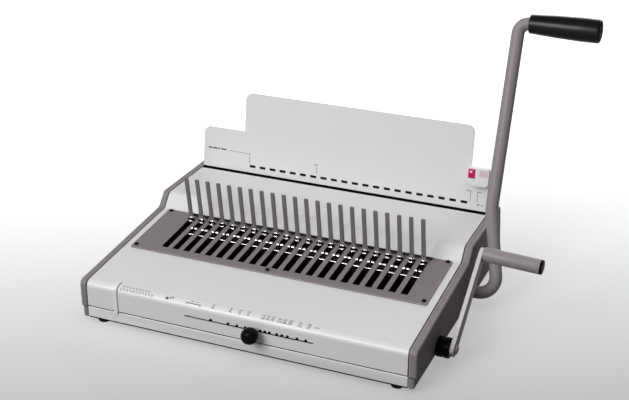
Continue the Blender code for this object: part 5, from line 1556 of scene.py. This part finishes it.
class BINDING_OT_studio(Operator):
    """Sets up the pale floor, the soft lamps, the pale surroundings and the camera"""

    bl_idname = "binding.studio"
    bl_label = "Studio"

    def execute(self, context):
        scene = context.scene
        scene.view_settings.view_transform = "Standard"
        self.lay_floor()
        self.light_world(scene)
        for name, place, size, power in LAMPS:
            self.lamp(name, Vector(place), size, power)
        bpy.data.objects["overhead_lamp"].visible_glossy = False
        self.place_camera(scene)
        return {"FINISHED"}

    @staticmethod
    def lay_floor():
        """A floor that is grey in front of the machine and fades to white behind it and far in front."""
        deselect()
        bpy.ops.mesh.primitive_plane_add(size=24, location=(0, 0.5, 0))
        floor = named("studio_floor")
        with editing(floor):
            bpy.ops.mesh.subdivide(number_cuts=6)
        bpy.ops.object.transform_apply(location=True, rotation=True, scale=True)
        material, tree, shader = new_finish("studio_floor")
        along = vector_calc(tree, "DOT_PRODUCT", place_of(tree), FLOOR_WAY)["Value"]
        fading = mapped(tree, spread(tree, along, *FLOOR_FADE), *FLOOR_SHADES)
        far_front = spread(tree, along, *FLOOR_FRONT)
        pale = calc(tree, "MAXIMUM", calc(tree, "MAXIMUM", fading, FLOOR_DARKEST), far_front)
        far = calc(tree, "MAXIMUM", spread(tree, along, *FLOOR_BACK), far_front)
        glow = calc(tree, "ADD", times(tree, pale, 1 - LIT_SHARE), times(tree, far, LIT_SHARE))
        seen = seen_rays(tree)
        sockets = {
            "Base Color": mixed(tree, seen, shade(colours().floor[:], 1), times(tree, pale, LIT_SHARE)),
            "Roughness": 0.9,
            "Specular IOR Level": 0.0,
            "Emission Color": WHITE,
            "Emission Strength": times(tree, seen, glow),
        }
        plug(tree, shader, sockets)
        floor.data.materials.append(material)

    @staticmethod
    def light_world(scene):
        """Pale walls and a dim ceiling for what the camera and reflections see, and a dim even fill."""
        world = bpy.data.worlds.new("pale_surroundings")
        scene.world = world
        world.use_nodes = True
        tree = world.node_tree
        way = node(tree, "ShaderNodeTexCoord").outputs["Generated"]
        height = node(tree, "ShaderNodeSeparateXYZ", {0: way}).outputs["Z"]
        walls = mapped(tree, spread(tree, height, *CEILING_START), *WALL_AND_CEILING)
        fill = node(tree, "ShaderNodeMix", {"Factor": seen_rays(tree), "A": FILL_LIGHT, "B": walls})
        plug(tree, tree.nodes["Background"], {"Color": WHITE, "Strength": fill.outputs["Result"]})

    @staticmethod
    def lamp(name, place, size, power):
        deselect()
        bpy.ops.object.light_add(type="AREA")
        obj = named(name)
        obj.data.shape = "RECTANGLE"
        obj.data.size, obj.data.size_y = size
        obj.data.energy = power
        obj.location = place
        obj.rotation_mode = "QUATERNION"
        obj.rotation_quaternion = (LAMP_AIM - place).to_track_quat("-Z", "Y")

    @staticmethod
    def place_camera(scene):
        deselect()
        bpy.ops.object.camera_add()
        camera = named("photo_camera")
        level = math.cos(CAMERA_RISE)
        back = Vector((math.sin(CAMERA_TURN) * level, -math.cos(CAMERA_TURN) * level, math.sin(CAMERA_RISE)))
        camera.location = CAMERA_PLACE
        camera.rotation_mode = "QUATERNION"
        camera.rotation_quaternion = (-back).to_track_quat("-Z", "Y")
        camera.data.lens = CAMERA_LENS
        camera.data.sensor_width = 36
        camera.data.sensor_fit = "HORIZONTAL"
        camera.data.clip_start = 0.01
        camera.data.clip_end = 100
        scene.camera = camera


STEPS = (
    BINDING_OT_covers,
    BINDING_OT_side_panels,
    BINDING_OT_deck,
    BINDING_OT_tines,
    BINDING_OT_hooks,
    BINDING_OT_comb_lever,
    BINDING_OT_punch_lever,
    BINDING_OT_paper_guide,
    BINDING_OT_edge_stop,
    BINDING_OT_selector,
    BINDING_OT_gauge_strip,
    BINDING_OT_feet,
    BINDING_OT_chip_tray,
    BINDING_OT_prints,
    BINDING_OT_inner_works,
    BINDING_OT_studio,
)


class BINDING_PT_machine(Panel):
    """Lists the steps, sizes and colours of the machine"""

    bl_idname = "BINDING_PT_machine"
    bl_label = "Comb binding machine"
    bl_space_type = "VIEW_3D"
    bl_region_type = "UI"
    bl_category = "Binding"

    def draw(self, context):
        for settings in (context.scene.machine_sizes, context.scene.machine_colours):
            column = self.layout.column(align=True)
            for name in settings.__annotations__:
                column.prop(settings, name)
        column = self.layout.column(align=True)
        for step in STEPS:
            column.operator(step.bl_idname)


CLASSES = (MachineSizes, MachineColours, *STEPS, BINDING_PT_machine)


def register():
    for made in CLASSES:
        bpy.utils.register_class(made)
    bpy.types.Scene.machine_sizes = PointerProperty(type=MachineSizes)
    bpy.types.Scene.machine_colours = PointerProperty(type=MachineColours)


def unregister():
    del bpy.types.Scene.machine_colours
    del bpy.types.Scene.machine_sizes
    for made in reversed(CLASSES):
        bpy.utils.unregister_class(made)


def main():
    register()
    for step in STEPS:
        module, name = step.bl_idname.split(".")
        getattr(getattr(bpy.ops, module), name)()
    deselect()


if __name__ == "__main__":
    main()
